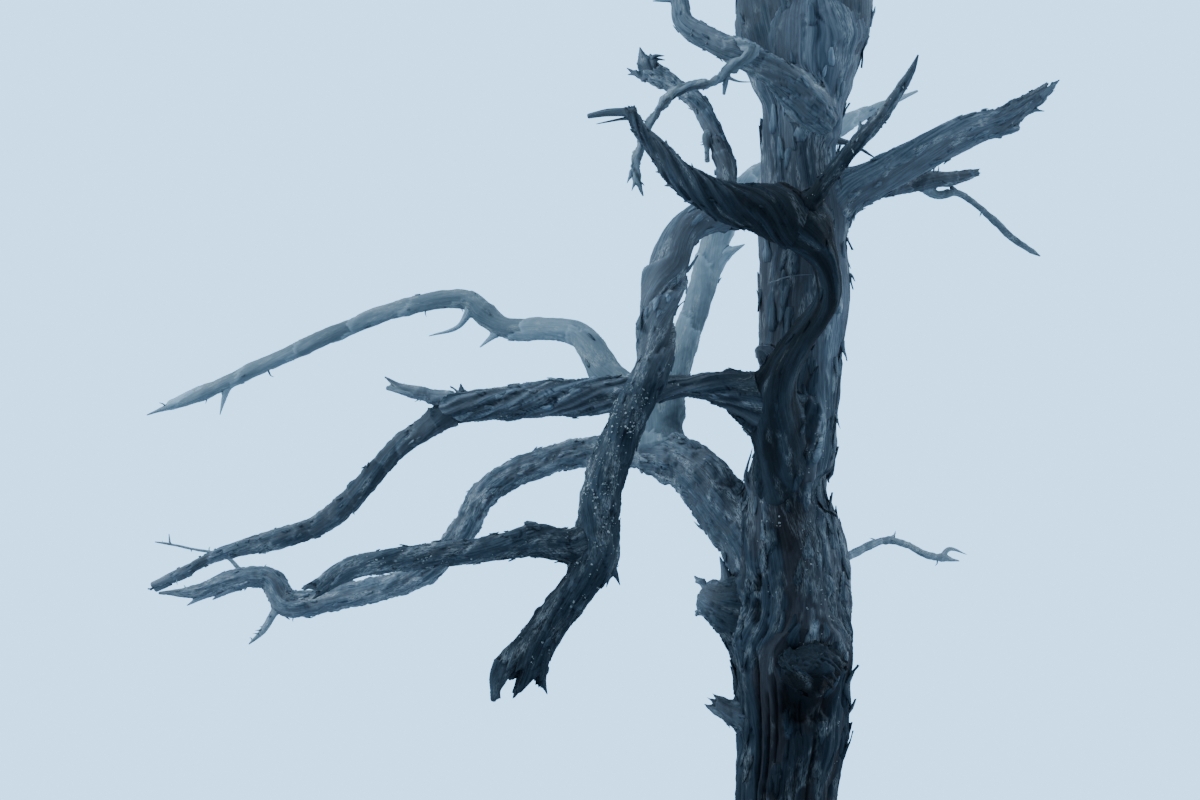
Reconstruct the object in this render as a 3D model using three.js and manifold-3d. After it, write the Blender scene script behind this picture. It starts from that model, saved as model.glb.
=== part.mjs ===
// A large dead tree, bare of leaves, standing on a flat cut at ground level.
// Millimetres, +Z up. The origin is the middle of the cut under the trunk.
//
// Places on the limbs are given as across, up and depth. Across and up are measured in the upright
// plane through the trunk, as sighted from EYE, and depth is how far behind that plane the place lies
// (negative in front). placed() carries such a place along its sight line to its real position.

import * as THREE from "three";
import Module from "manifold-3d";

const wasm = await Module();
wasm.setup();

// Driving dimensions
const EYE = { across: -1330, up: 7200, distance: 30000 };
const CLEARANCE = 0.3; // between two pieces that meet
const TRUNK_SIDES = 28;
const SIDES_FOR_WIDTH = [[90, 5], [200, 7], [Infinity, 9]]; // widest root, sides of the section
const RING_STEP = 1.7; // distance between rings, in widths of the limb
const LONGEST_STEP = 400;

// Trunk: height, how far across its middle lies, and its width from side to side
const TRUNK_TOP = 10120;
const TRUNK_PROFILE = [
  [0, 0, 850],
  [1800, -10, 800],
  [3400, -30, 730],
  [4400, -25, 685],
  [4855, 15, 745],
  [5450, 5, 790],
  [6000, 12, 755],
  [6626, 0, 578],
  [6934, 52, 525],
  [7375, 73, 553],
  [7942, 105, 630],
  [8355, 98, 602],
  [9006, 72, 500],
  [9251, 98, 545],
  [9405, 92, 595],
  [9601, 80, 725],
  [9776, 90, 830],
  [TRUNK_TOP, 112, 900],
];
const TRUNK_RING_STEP = 290;
const TRUNK_DEPTH_SHARE = 0.92; // front to back, as a share of the width
const FORK_DEPTH = 560; // front to back, at the most, above FORK_START where the trunk widens to its fork
const FORK_START = 9300;
const FOOT_RINGS = [60, 160, 390]; // further rings where the foot spreads
const ROOT_FLARE = { spread: 0.72, height: 420, ridges: 7, relief: 0.17, ridgeHeight: 620 };
const TRUNK_LOBES = [
  { count: 2, share: 0.03, turn: 0.7, rise: 0.00021 },
  { count: 3, share: 0.035, turn: 2.1, rise: -0.00034 },
  { count: 5, share: 0.022, turn: 4.0, rise: 0.0006 },
];

// Looks
const BARK = { color: 0x4b5662, roughness: 0.92, metalness: 0 };
const WEATHERED = { color: 0x6d7c87, roughness: 0.88, metalness: 0 };
const BARE_WOOD = { color: 0x8e9da6, roughness: 0.85, metalness: 0 };

// Limbs. A knot is [across, up, depth, width]. A limb is cut clear of the limbs that carry it, and
// pieces names its nodes with the knot at which each ends, where a long limb is split at its bends.
// An end is broken off, drawn to a tip, or sawn flat where the next piece goes on.
const LIMBS = {
  front_stem: {
    carriedBy: ["trunk"],
    end: "round",
    look: BARK,
    knots: [
      [-60, 6500, -60, 300],
      [-98, 6900, -330, 330],
      [-85, 7330, -520, 270],
      [84, 7634, -600, 205],
      [255, 7880, -670, 190],
      [262, 8110, -760, 185],
      [165, 8330, -840, 270],
      [60, 8480, -900, 390],
    ],
  },
  twisted_bough: {
    carriedBy: ["front_stem"],
    pieces: { twisted_bough: 3, twisted_bough_tip: 6 },
    end: "broken",
    look: BARK,
    knots: [
      [60, 8450, -900, 330],
      [-175, 8530, -940, 380],
      [-450, 8590, -990, 290],
      [-760, 8770, -1080, 215],
      [-910, 8929, -1160, 155],
      [-1060, 9110, -1250, 108],
      [-1116, 9232, -1325, 70],
    ],
  },
  upright_bough: {
    carriedBy: ["front_stem", "twisted_bough"],
    end: "tip",
    look: BARK,
    knots: [
      [80, 8500, -960, 190],
      [190, 8645, -1010, 140],
      [413, 8929, -1080, 106],
      [648, 9195, -1150, 96],
      [782, 9397, -1230, 68],
      [852, 9510, -1270, 46],
      [896, 9615, -1300, 12],
    ],
  },
  right_bough: {
    carriedBy: ["trunk"],
    end: "broken",
    look: BARK,
    knots: [
      [130, 8470, -20, 330],
      [410, 8650, 0, 295],
      [630, 8761, 40, 255],
      [1215, 9068, 180, 222],
      [1480, 9165, 250, 165],
      [1715, 9320, 320, 105],
      [1800, 9385, 350, 65],
    ],
  },
  right_low_bough: {
    carriedBy: ["right_bough", "trunk"],
    end: "broken",
    look: BARK,
    knots: [
      [510, 8670, 60, 150],
      [770, 8691, 260, 112],
      [980, 8740, 380, 118],
      [1155, 8754, 480, 100],
      [1320, 8793, 580, 50],
    ],
  },
  right_low_twig: {
    carriedBy: ["right_low_bough"],
    end: "tip",
    look: WEATHERED,
    knots: [
      [900, 8710, 350, 70],
      [1030, 8635, 410, 66],
      [1169, 8649, 470, 50],
      [1414, 8468, 600, 52],
      [1554, 8336, 680, 52],
      [1694, 8243, 740, 38],
      [1750, 8208, 760, 10],
    ],
  },
  crossing_bough: {
    carriedBy: ["trunk"],
    pieces: { crossing_bough: 5, crossing_bough_tip: 8 },
    end: "broken",
    look: WEATHERED,
    knots: [
      [245, 9125, -150, 150],
      [130, 9265, -300, 290],
      [0, 9412, -385, 250],
      [-175, 9545, -420, 205],
      [-480, 9686, -400, 190],
      [-735, 9845, -350, 150],
      [-768, 10000, -330, 125],
      [-812, 10315, -330, 105],
      [-770, 10760, -400, 60],
    ],
  },
  crossing_bough_twig: {
    carriedBy: ["crossing_bough"],
    end: "tip",
    look: BARE_WOOD,
    knots: [
      [-400, 9720, -440, 60],
      [-262, 9640, -590, 72],
      [-420, 9517, -610, 70],
      [-525, 9426, -600, 60],
      [-777, 9370, -620, 56],
      [-966, 9167, -640, 50],
      [-1050, 8957, -650, 56],
      [-1085, 8830, -660, 84],
      [-1029, 8630, -660, 10],
    ],
  },
  bent_bough: {
    carriedBy: ["trunk"],
    pieces: { bent_bough_arch: 5, bent_bough_middle: 8, bent_bough_lower_arm: 12 },
    end: "broken",
    look: BARK,
    knots: [
      [-60, 8500, -120, 250],
      [-315, 8525, -330, 225],
      [-560, 8490, -480, 235],
      [-740, 8370, -580, 245],
      [-866, 8068, -660, 305],
      [-922, 7800, -720, 282],
      [-952, 7440, -790, 265],
      [-1134, 7067, -860, 265],
      [-1322, 6540, -930, 300],
      [-1362, 6080, -985, 285],
      [-1526, 5842, -1020, 245],
      [-1740, 5565, -1080, 248],
      [-1910, 5285, -1145, 330],
    ],
  },
  bent_bough_left_arm: {
    carriedBy: ["bent_bough"],
    end: "broken",
    look: BARK,
    knots: [
      [-1380, 6185, -970, 235],
      [-1540, 6174, -1000, 215],
      [-1785, 6213, -1040, 222],
      [-2065, 6164, -1080, 168],
      [-2730, 6087, -1180, 174],
      [-3100, 6012, -1230, 160],
      [-3330, 5873, -1260, 118],
    ],
  },
  short_bough: {
    carriedBy: ["bent_bough"],
    end: "broken",
    look: BARK,
    knots: [
      [-395, 8470, -395, 180],
      [-441, 8670, -380, 160],
      [-448, 8845, -340, 150],
      [-511, 9020, -300, 140],
      [-644, 9279, -220, 140],
      [-800, 9400, -180, 136],
      [-975, 9505, -150, 152],
    ],
  },
  short_bough_twig: {
    carriedBy: ["short_bough"],
    end: "round",
    look: WEATHERED,
    knots: [
      [-530, 9100, -280, 40],
      [-585, 9050, -345, 58],
      [-582, 8960, -352, 32],
      [-580, 8873, -352, 42],
    ],
  },
  left_bough: {
    carriedBy: ["trunk", "front_stem"],
    pieces: { left_bough_root: 3, left_bough: 6 },
    end: "round",
    look: BARK,
    knots: [
      [-10, 7040, -260, 330],
      [-235, 7170, -410, 340],
      [-460, 7285, -460, 240],
      [-720, 7298, -455, 140],
      [-1204, 7240, -410, 250],
      [-1750, 7205, -350, 264],
      [-2400, 7150, -280, 205],
    ],
  },
  left_bough_lower_arm: {
    carriedBy: ["left_bough"],
    end: "tip",
    look: BARK,
    knots: [
      [-2380, 7120, -285, 180],
      [-2520, 7025, -270, 155],
      [-2730, 6878, -250, 134],
      [-3112, 6463, -180, 158],
      [-3325, 6311, -140, 142],
      [-3563, 6234, -100, 148],
      [-4025, 6108, 0, 85],
      [-4270, 5982, 50, 78],
      [-4480, 5877, 100, 14],
    ],
  },
  left_bough_tip: {
    carriedBy: ["left_bough", "left_bough_lower_arm"],
    end: "tip",
    look: WEATHERED,
    knots: [
      [-2370, 7190, -285, 125],
      [-2520, 7235, -300, 105],
      [-2695, 7275, -320, 62],
      [-2835, 7361, -340, 12],
    ],
  },
  low_bough: {
    carriedBy: ["trunk"],
    pieces: { low_bough_root: 5, low_bough_middle: 8, low_bough_outer: 12, low_bough_tip: 16 },
    end: "tip",
    look: BARK,
    knots: [
      [-120, 5900, 20, 300],
      [-315, 6200, 60, 350],
      [-465, 6420, 150, 365],
      [-605, 6645, 270, 385],
      [-795, 6785, 400, 305],
      [-1029, 6836, 540, 205],
      [-1470, 6830, 680, 188],
      [-1795, 6740, 790, 190],
      [-2110, 6566, 880, 194],
      [-2300, 6268, 960, 183],
      [-2555, 5996, 1030, 184],
      [-3150, 5815, 1160, 186],
      [-3520, 5778, 1230, 196],
      [-3654, 5950, 1260, 162],
      [-3920, 5938, 1320, 142],
      [-4140, 5866, 1370, 95],
      [-4417, 5849, 1420, 14],
    ],
  },
  low_bough_hanging_twig: {
    carriedBy: ["low_bough"],
    end: "tip",
    look: WEATHERED,
    knots: [
      [-3570, 5790, 1240, 64],
      [-3612, 5709, 1240, 54],
      [-3696, 5576, 1250, 48],
      [-3787, 5492, 1260, 10],
    ],
  },
  low_bough_fine_twig: {
    carriedBy: ["low_bough"],
    end: "tip",
    look: WEATHERED,
    knots: [
      [-3830, 5990, 1300, 30],
      [-3948, 6101, 1330, 24],
      [-4214, 6164, 1380, 20],
      [-4347, 6192, 1410, 20],
      [-4445, 6206, 1430, 8],
    ],
  },
  far_bough: {
    carriedBy: ["low_bough"],
    pieces: { far_bough_lower: 4, far_bough_upper: 6, far_bough_tip: 8 },
    end: "tip",
    look: BARE_WOOD,
    knots: [
      [-905, 6830, 440, 265],
      [-852, 7200, 640, 240],
      [-749, 7550, 850, 212],
      [-633, 7900, 1080, 188],
      [-530, 8290, 1350, 190],
      [-290, 8705, 1750, 180],
      [40, 8890, 2180, 160],
      [357, 9125, 2700, 140],
      [889, 9363, 3350, 20],
    ],
  },
  pale_bough: {
    carriedBy: ["far_bough"],
    pieces: { pale_bough_root: 5, pale_bough: 8, pale_bough_tip: 10 },
    end: "tip",
    look: BARE_WOOD,
    knots: [
      [-850, 7060, 560, 230],
      [-1060, 7205, 700, 232],
      [-1280, 7365, 860, 236],
      [-1488, 7660, 1080, 172],
      [-1995, 7708, 1380, 138],
      [-2132, 7795, 1480, 170],
      [-2240, 7900, 1560, 138],
      [-2730, 7837, 1850, 122],
      [-3430, 7555, 2150, 118],
      [-4130, 7238, 2370, 100],
      [-4501, 7095, 2450, 10],
    ],
  },
  right_twig: {
    carriedBy: ["trunk"],
    end: "tip",
    look: BARE_WOOD,
    knots: [
      [200, 6060, 150, 74],
      [378, 6094, 270, 60],
      [644, 6213, 540, 58],
      [819, 6185, 780, 44],
      [938, 6122, 950, 46],
      [1078, 6094, 1150, 52],
      [1183, 6073, 1300, 10],
    ],
  },
  left_stub: {
    carriedBy: ["trunk", "low_bough"],
    end: "broken",
    look: BARK,
    knots: [
      [-180, 5690, 10, 430],
      [-390, 5740, 30, 400],
      [-525, 5790, 50, 290],
      [-572, 5815, 62, 235],
    ],
  },
  lower_left_stub: {
    carriedBy: ["trunk"],
    end: "broken",
    look: BARK,
    knots: [
      [-220, 4920, -30, 215],
      [-380, 4990, -50, 175],
      [-540, 5090, -80, 112],
    ],
  },
  front_stub: {
    carriedBy: ["trunk"],
    end: "broken",
    look: BARK,
    knots: [
      [140, 5420, -120, 400],
      [140, 5370, -390, 390],
      [130, 5300, -560, 330],
    ],
  },
  back_bough: {
    carriedBy: ["trunk"],
    pieces: { back_bough: 3, back_bough_tip: 6 },
    end: "tip",
    look: BARK,
    knots: [
      [60, 6880, 60, 300],
      [60, 7080, 600, 230],
      [105, 7260, 1250, 185],
      [20, 7360, 1900, 150],
      [110, 7640, 2500, 118],
      [60, 7820, 3050, 78],
      [110, 8060, 3450, 14],
    ],
  },
  back_bough_fork: {
    carriedBy: ["back_bough"],
    end: "tip",
    look: WEATHERED,
    knots: [
      [105, 7230, 1150, 120],
      [50, 7850, 1380, 105],
      [110, 8420, 1420, 80],
      [40, 8950, 1500, 55],
      [90, 9300, 1600, 14],
    ],
  },
  high_back_bough: {
    carriedBy: ["trunk"],
    pieces: { high_back_bough: 3, high_back_bough_tip: 6 },
    end: "tip",
    look: BARK,
    knots: [
      [70, 9420, 60, 260],
      [60, 9850, 620, 205],
      [0, 10360, 1150, 165],
      [130, 10760, 1750, 135],
      [-180, 11020, 2300, 100],
      [-150, 11360, 2800, 62],
      [-420, 11620, 3200, 14],
    ],
  },
  high_back_fork: {
    carriedBy: ["high_back_bough"],
    end: "tip",
    look: WEATHERED,
    knots: [
      [30, 10460, 1260, 120],
      [480, 10900, 1600, 98],
      [900, 11080, 2150, 72],
      [1320, 11500, 2500, 14],
    ],
  },
  left_leader: {
    carriedBy: [],
    pieces: { trunk: 2, left_leader: 4, left_leader_top: 7 },
    end: "broken",
    look: BARK,
    knots: [
      [-75, 9600, 0, 420],
      [-125, 10000, 0, 450],
      [-175, 10560, -20, 405],
      [-250, 11150, -50, 350],
      [-190, 11700, -20, 295],
      [-330, 12300, 40, 235],
      [-310, 12900, 80, 170],
      [-440, 13600, 100, 100],
    ],
  },
  right_leader: {
    carriedBy: [],
    pieces: { trunk: 2, right_leader: 4, right_leader_top: 6 },
    end: "broken",
    look: BARK,
    knots: [
      [200, 9560, 0, 420],
      [310, 10000, 5, 480],
      [420, 10540, 30, 400],
      [620, 11150, 80, 320],
      [740, 11700, 150, 255],
      [940, 12250, 210, 190],
      [1060, 12950, 280, 95],
    ],
  },
  crown_left_bough: {
    carriedBy: ["left_leader"],
    pieces: { crown_left_bough: 3, crown_left_bough_tip: 5 },
    end: "tip",
    look: BARK,
    knots: [
      [-240, 11100, -60, 220],
      [-640, 11420, -240, 160],
      [-1250, 11560, -420, 128],
      [-1800, 11900, -480, 98],
      [-2350, 11850, -640, 64],
      [-2750, 12120, -700, 14],
    ],
  },
  crown_front_bough: {
    carriedBy: ["left_leader"],
    end: "tip",
    look: BARK,
    knots: [
      [-200, 11750, -20, 190],
      [-330, 12020, -560, 140],
      [-120, 12110, -1150, 112],
      [-380, 12420, -1650, 80],
      [-260, 12560, -2150, 48],
      [-420, 12800, -2450, 14],
    ],
  },
  crown_back_bough: {
    carriedBy: ["left_leader"],
    end: "tip",
    look: WEATHERED,
    knots: [
      [-320, 12250, 40, 160],
      [-450, 12500, 500, 120],
      [-300, 12600, 1050, 92],
      [-600, 12880, 1500, 66],
      [-520, 13050, 2000, 14],
    ],
  },
  crown_right_bough: {
    carriedBy: ["right_leader"],
    pieces: { crown_right_bough: 2, crown_right_bough_tip: 5 },
    end: "tip",
    look: BARK,
    knots: [
      [640, 11200, 80, 210],
      [1180, 11560, 20, 152],
      [1750, 11600, 160, 122],
      [2250, 11950, 100, 90],
      [2720, 11930, 260, 56],
      [3080, 12200, 320, 14],
    ],
  },
  crown_right_front_bough: {
    carriedBy: ["right_leader"],
    end: "tip",
    look: WEATHERED,
    knots: [
      [720, 11640, 140, 170],
      [980, 11960, -420, 126],
      [900, 12080, -1020, 98],
      [1240, 12360, -1500, 70],
      [1180, 12500, -1950, 14],
    ],
  },
};

// Snags: short splinters, thorns and side twigs that are one with the limb piece they stand on
function snag(on, ...knots) {
  return { on, knots };
}

const SNAGS = [
  snag("twisted_bough_tip", [-1095, 9212, -1305, 70], [-1270, 9212, -1330, 54], [-1410, 9188, -1345, 36]),
  snag("twisted_bough_tip", [-1090, 9180, -1300, 40], [-1190, 9165, -1290, 22], [-1355, 9132, -1280, 6]),
  snag("upright_bough", [500, 9060, -1110, 60], [490, 9150, -1120, 10]),
  snag("right_bough", [1640, 9260, 300, 90], [1760, 9235, 310, 10]),
  snag("right_bough", [1740, 9320, 325, 80], [1885, 9440, 360, 10]),
  snag("crossing_bough_tip", [-765, 10030, -335, 70], [-850, 10005, -342, 42], [-959, 9993, -340, 8]),
  snag("crossing_bough_twig", [-440, 9500, -605, 42], [-455, 9400, -600, 36], [-462, 9342, -600, 24]),
  snag("crossing_bough_twig", [-440, 9460, -605, 30], [-360, 9430, -600, 16], [-259, 9426, -600, 5]),
  snag("short_bough", [-950, 9480, -150, 80], [-1010, 9590, -150, 45], [-1052, 9668, -150, 8]),
  snag("short_bough", [-900, 9450, -165, 60], [-915, 9540, -175, 40], [-880, 9602, -180, 6]),
  snag("short_bough", [-960, 9500, -150, 60], [-1070, 9515, -140, 40], [-1140, 9522, -140, 6]),
  snag("bent_bough_lower_arm", [-1290, 6120, -985, 80], [-1225, 5990, -988, 50], [-1190, 5905, -990, 8]),
  snag(
    "bent_bough_lower_arm",
    [-1985, 5350, -1150, 150],
    [-2040, 5230, -1158, 120],
    [-2078, 5098, -1165, 36],
  ),
  snag("bent_bough_lower_arm", [-1768, 5340, -1140, 105], [-1700, 5142, -1155, 10]),
  snag("bent_bough_left_arm", [-3290, 5900, -1255, 70], [-3420, 5880, -1265, 8]),
  snag("left_bough", [-2290, 7190, -285, 95], [-2305, 7312, -280, 10]),
  snag("left_bough_tip", [-2660, 7265, -318, 50], [-2805, 7288, -330, 8]),
  snag("low_bough_tip", [-4000, 5890, 1340, 80], [-4220, 5762, 1380, 8]),
  snag("low_bough_tip", [-3880, 5900, 1310, 80], [-4040, 5803, 1350, 8]),
  snag("low_bough_fine_twig", [-4340, 6190, 1410, 16], [-4347, 6262, 1415, 6]),
  snag("far_bough_lower", [-600, 8060, 1190, 130], [-450, 8215, 1280, 80], [-318, 8290, 1350, 8]),
  snag("pale_bough", [-2230, 7850, 1530, 70], [-2320, 7715, 1540, 36], [-2527, 7648, 1560, 8]),
  snag("pale_bough_root", [-2030, 7690, 1400, 60], [-2170, 7570, 1440, 8]),
  snag("pale_bough_tip", [-3930, 7310, 2310, 60], [-3965, 7200, 2330, 36], [-3990, 7098, 2330, 8]),
  snag("right_twig", [1060, 6100, 1130, 44], [1113, 6157, 1220, 36], [1235, 6120, 1380, 6]),
  snag("right_twig", [680, 6215, 580, 36], [740, 6265, 640, 6]),
  snag("left_stub", [-560, 5860, 60, 110], [-670, 5968, 60, 8]),
  snag("left_stub", [-590, 5780, 60, 100], [-660, 5690, 60, 8]),
  snag("left_stub", [-445, 5850, 30, 110], [-455, 5990, 25, 58], [-492, 6103, 20, 8]),
  snag("trunk", [-230, 6480, -60, 60], [-300, 6650, -80, 26], [-264, 6850, -90, 6]),
  snag("trunk", [260, 9030, 60, 70], [430, 8990, 150, 42], [610, 8885, 220, 8]),
  snag("back_bough_tip", [95, 7610, 2400, 80], [30, 7470, 2750, 50], [60, 7500, 3100, 8]),
  snag("high_back_bough_tip", [-100, 11000, 2180, 70], [260, 11200, 2450, 40], [420, 11460, 2750, 8]),
  snag("crown_left_bough_tip", [-1950, 11880, -520, 64], [-2180, 12180, -420, 38], [-2250, 12420, -300, 8]),
  snag("crown_right_bough_tip", [2150, 11880, 110, 64], [2330, 12220, -60, 40], [2600, 12420, -200, 8]),
  snag("crown_front_bough", [-300, 12320, -1500, 60], [60, 12520, -1700, 36], [180, 12780, -1850, 8]),
  snag("left_leader_top", [-310, 12850, 80, 90], [-80, 13130, 40, 56], [-30, 13430, 120, 8]),
  snag("right_leader_top", [930, 12220, 210, 100], [1250, 12480, 380, 60], [1380, 12780, 540, 8]),
];

// A repeatable number from 0 to 1 for a limb's name and a count
function chance(name, count) {
  let state = 2166136261 ^ Math.imul(count + 1, 40503);
  for (const letter of name) {
    state = Math.imul(state ^ letter.charCodeAt(0), 16777619);
  }
  state ^= state >>> 15;
  state = Math.imul(state, 2246822519);
  state ^= state >>> 13;
  return (state >>> 0) / 4294967296;
}

// The real position of a place given as across, up and depth, and how far its sizes grow there
function placed([across, up, depth]) {
  const reach = 1 + depth / EYE.distance;
  const position = new THREE.Vector3(
    EYE.across + (across - EYE.across) * reach,
    depth,
    EYE.up + (up - EYE.up) * reach,
  );
  return { position, reach };
}

// Rings along a limb, with one at every knot: each has its middle, its directions and its radius
function ringsAlong(knots) {
  const spots = knots.map(placed);
  const radii = knots.map((knot, i) => (knot[3] / 2) * spots[i].reach);
  const curve = new THREE.CatmullRomCurve3(spots.map((spot) => spot.position), false, "centripetal");
  const meanWidth = (2 * radii.reduce((sum, radius) => sum + radius, 0)) / radii.length;
  const step = Math.min(RING_STEP * meanWidth, LONGEST_STEP);
  const intervals = knots.length - 1;
  const rings = [];
  let side = new THREE.Vector3(0, 1, 0);
  for (let i = 0; i <= intervals; i++) {
    const gap = i < intervals ? spots[i].position.distanceTo(spots[i + 1].position) : 0;
    const count = Math.max(Math.round(gap / step), 1);
    for (let j = 0; j < count; j++) {
      const t = (i + j / count) / intervals;
      const tangent = curve.getTangent(t);
      side = side.clone().addScaledVector(tangent, -side.dot(tangent)).normalize();
      rings.push({
        middle: curve.getPoint(t),
        tangent,
        side,
        other: new THREE.Vector3().crossVectors(tangent, side),
        radius: THREE.MathUtils.lerp(radii[i], radii[Math.min(i + 1, intervals)], j / count),
        knot: j === 0 ? i : null,
      });
    }
  }
  return rings;
}

// How far the bark of a limb stands out of a plain round section at one ring and angle
function swell(name, ringNumber, angle) {
  const turn = 2 * Math.PI * chance(name, 0) + 0.35 * ringNumber;
  const lobes = 0.07 * Math.sin(2 * angle + turn) + 0.05 * Math.sin(3 * angle - 1.3 * turn);
  return 1 + lobes + 0.05 * (chance(name, ringNumber + 7) - 0.5);
}

// A closed body from rings of points, each a list of vertices, with a middle for each end
function closedBody(rings, startMiddle, endMiddle) {
  const sides = rings[0].length;
  const positions = [...rings.flat(), startMiddle, endMiddle].flatMap((point) => point.toArray());
  const startIndex = rings.length * sides;
  const faces = [];
  for (let side = 0; side < sides; side++) {
    const next = (side + 1) % sides;
    for (let ring = 0; ring + 1 < rings.length; ring++) {
      const low = ring * sides;
      const high = low + sides;
      faces.push(low + side, low + next, high + next, low + side, high + next, high + side);
    }
    const last = (rings.length - 1) * sides;
    faces.push(startIndex, next, side, startIndex + 1, last + side, last + next);
  }
  const geometry = new THREE.BufferGeometry();
  geometry.setAttribute("position", new THREE.Float32BufferAttribute(positions, 3));
  geometry.setIndex(faces);
  return solidFrom(geometry);
}

function solidFrom(geometry) {
  const mesh = new wasm.Mesh({
    numProp: 3,
    vertProperties: new Float32Array(geometry.getAttribute("position").array),
    triVerts: new Uint32Array(geometry.index.array),
  });
  return new wasm.Manifold(mesh);
}

// One stretch of a limb, from its first ring to its last, grown outwards by grow
function stretch(name, rings, first, last, sides, end, grow = 0) {
  const outline = [];
  for (let i = first; i <= last; i++) {
    const ring = rings[i];
    outline.push(
      Array.from({ length: sides }, (_, side) => {
        const angle = (2 * Math.PI * side) / sides;
        const radius = ring.radius * swell(name, i, angle) + grow;
        return ring.middle
          .clone()
          .addScaledVector(ring.side, radius * Math.cos(angle))
          .addScaledVector(ring.other, radius * Math.sin(angle));
      }),
    );
  }
  const startMiddle = rings[first].middle.clone();
  const endMiddle = rings[last].middle.clone();
  if (first > 0) {
    const onwards = rings[first].tangent;
    [...outline[0], startMiddle].forEach((point) => point.addScaledVector(onwards, CLEARANCE - grow));
  } else {
    startMiddle.addScaledVector(rings[first].tangent, -0.3 * rings[first].radius);
  }
  const endRing = rings[last];
  if (last < rings.length - 1) {
    endMiddle.addScaledVector(endRing.tangent, grow);
  } else if (end === "broken") {
    outline[outline.length - 1].forEach((point, side) => {
      const jag = (side % 2 ? 0.75 : -0.35) + 0.7 * (chance(name, side + 90) - 0.5);
      point.addScaledVector(endRing.tangent, jag * endRing.radius + grow);
    });
    endMiddle.addScaledVector(endRing.tangent, -0.25 * endRing.radius + grow);
  } else {
    endMiddle.addScaledVector(endRing.tangent, 0.6 * endRing.radius + grow);
  }
  return closedBody(outline, startMiddle, endMiddle);
}

function sidesFor(knots) {
  return SIDES_FOR_WIDTH.find(([widest]) => knots[0][3] <= widest)[1];
}

// The trunk's own body: level rings with lobes, spread into ridged roots at the ground
function trunkBody(grow = 0) {
  const count = Math.round(TRUNK_TOP / TRUNK_RING_STEP);
  const heights = Array.from({ length: count + 1 }, (_, i) => (TRUNK_TOP * i) / count);
  const levels = [...heights, ...FOOT_RINGS].sort((a, b) => a - b);
  const rings = levels.map((height) => {
    const after = Math.max(TRUNK_PROFILE.findIndex((row) => row[0] >= height), 1);
    const [fromHeight, fromAcross, fromWidth] = TRUNK_PROFILE[after - 1];
    const [toHeight, toAcross, toWidth] = TRUNK_PROFILE[after];
    const share = THREE.MathUtils.smoothstep(height, fromHeight, toHeight);
    const across = THREE.MathUtils.lerp(fromAcross, toAcross, share);
    const flare = 1 + ROOT_FLARE.spread * Math.exp(-height / ROOT_FLARE.height);
    const halfWidth = (THREE.MathUtils.lerp(fromWidth, toWidth, share) / 2) * flare;
    const deepest = height > FORK_START ? FORK_DEPTH / 2 : Infinity;
    const halfDepth = Math.min(halfWidth * TRUNK_DEPTH_SHARE, deepest);
    const ridge = ROOT_FLARE.relief * Math.exp(-height / ROOT_FLARE.ridgeHeight);
    return Array.from({ length: TRUNK_SIDES }, (_, side) => {
      const angle = (2 * Math.PI * side) / TRUNK_SIDES;
      let reach = 1 + ridge * Math.cos(ROOT_FLARE.ridges * angle + 0.8 * Math.sin(2 * angle));
      for (const lobe of TRUNK_LOBES) {
        reach += lobe.share * Math.sin(lobe.count * angle + lobe.turn + lobe.rise * height);
      }
      return new THREE.Vector3(
        across + (halfWidth * reach + grow) * Math.cos(angle),
        (halfDepth * reach + grow) * Math.sin(angle),
        height,
      );
    });
  });
  const topAcross = TRUNK_PROFILE[TRUNK_PROFILE.length - 1][1];
  return closedBody(rings, new THREE.Vector3(0, 0, 0), new THREE.Vector3(topAcross, 0, TRUNK_TOP));
}

// Adds each node's body to solids, and each whole limb, grown by the clearance, to keepOuts
const solids = { trunk: trunkBody() };
const keepOuts = { trunk: trunkBody(CLEARANCE) };
const looks = { trunk: BARK };

function largestBody(solid) {
  const bodies = solid.decompose();
  return bodies.reduce((best, body) => (body.volume() > best.volume() ? body : best));
}

function buildLimb(name, limb) {
  const rings = ringsAlong(limb.knots);
  const sides = sidesFor(limb.knots);
  const pieces = Object.entries(limb.pieces ?? { [name]: limb.knots.length - 1 });
  keepOuts[name] = stretch(name, rings, 0, rings.length - 1, sides, limb.end, CLEARANCE);
  let first = 0;
  for (const [piece, lastKnot] of pieces) {
    const last = rings.findIndex((ring) => ring.knot === lastKnot);
    let body = stretch(name, rings, first, last, sides, limb.end);
    for (const carrier of limb.carriedBy) {
      body = body.subtract(keepOuts[carrier]);
    }
    solids[piece] = solids[piece] ? solids[piece].add(body) : largestBody(body);
    looks[piece] = looks[piece] ?? limb.look;
    first = last;
  }
}

for (const [name, limb] of Object.entries(LIMBS)) {
  buildLimb(name, limb);
}
SNAGS.forEach(({ on, knots }, i) => {
  const rings = ringsAlong(knots);
  const body = stretch(on + i, rings, 0, rings.length - 1, sidesFor(knots), "tip");
  solids[on] = solids[on].add(body);
});

// The tree
const tree = new THREE.Group();
for (const [name, solid] of Object.entries(solids)) {
  const { vertProperties, triVerts } = solid.getMesh();
  const geometry = new THREE.BufferGeometry();
  geometry.setAttribute("position", new THREE.BufferAttribute(vertProperties, 3));
  geometry.setIndex(new THREE.BufferAttribute(triVerts, 1));
  geometry.computeVertexNormals();
  const material = new THREE.MeshStandardMaterial({ ...looks[name], flatShading: true });
  const mesh = new THREE.Mesh(geometry, material);
  mesh.name = name;
  tree.add(mesh);
}

export default tree;
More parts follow.
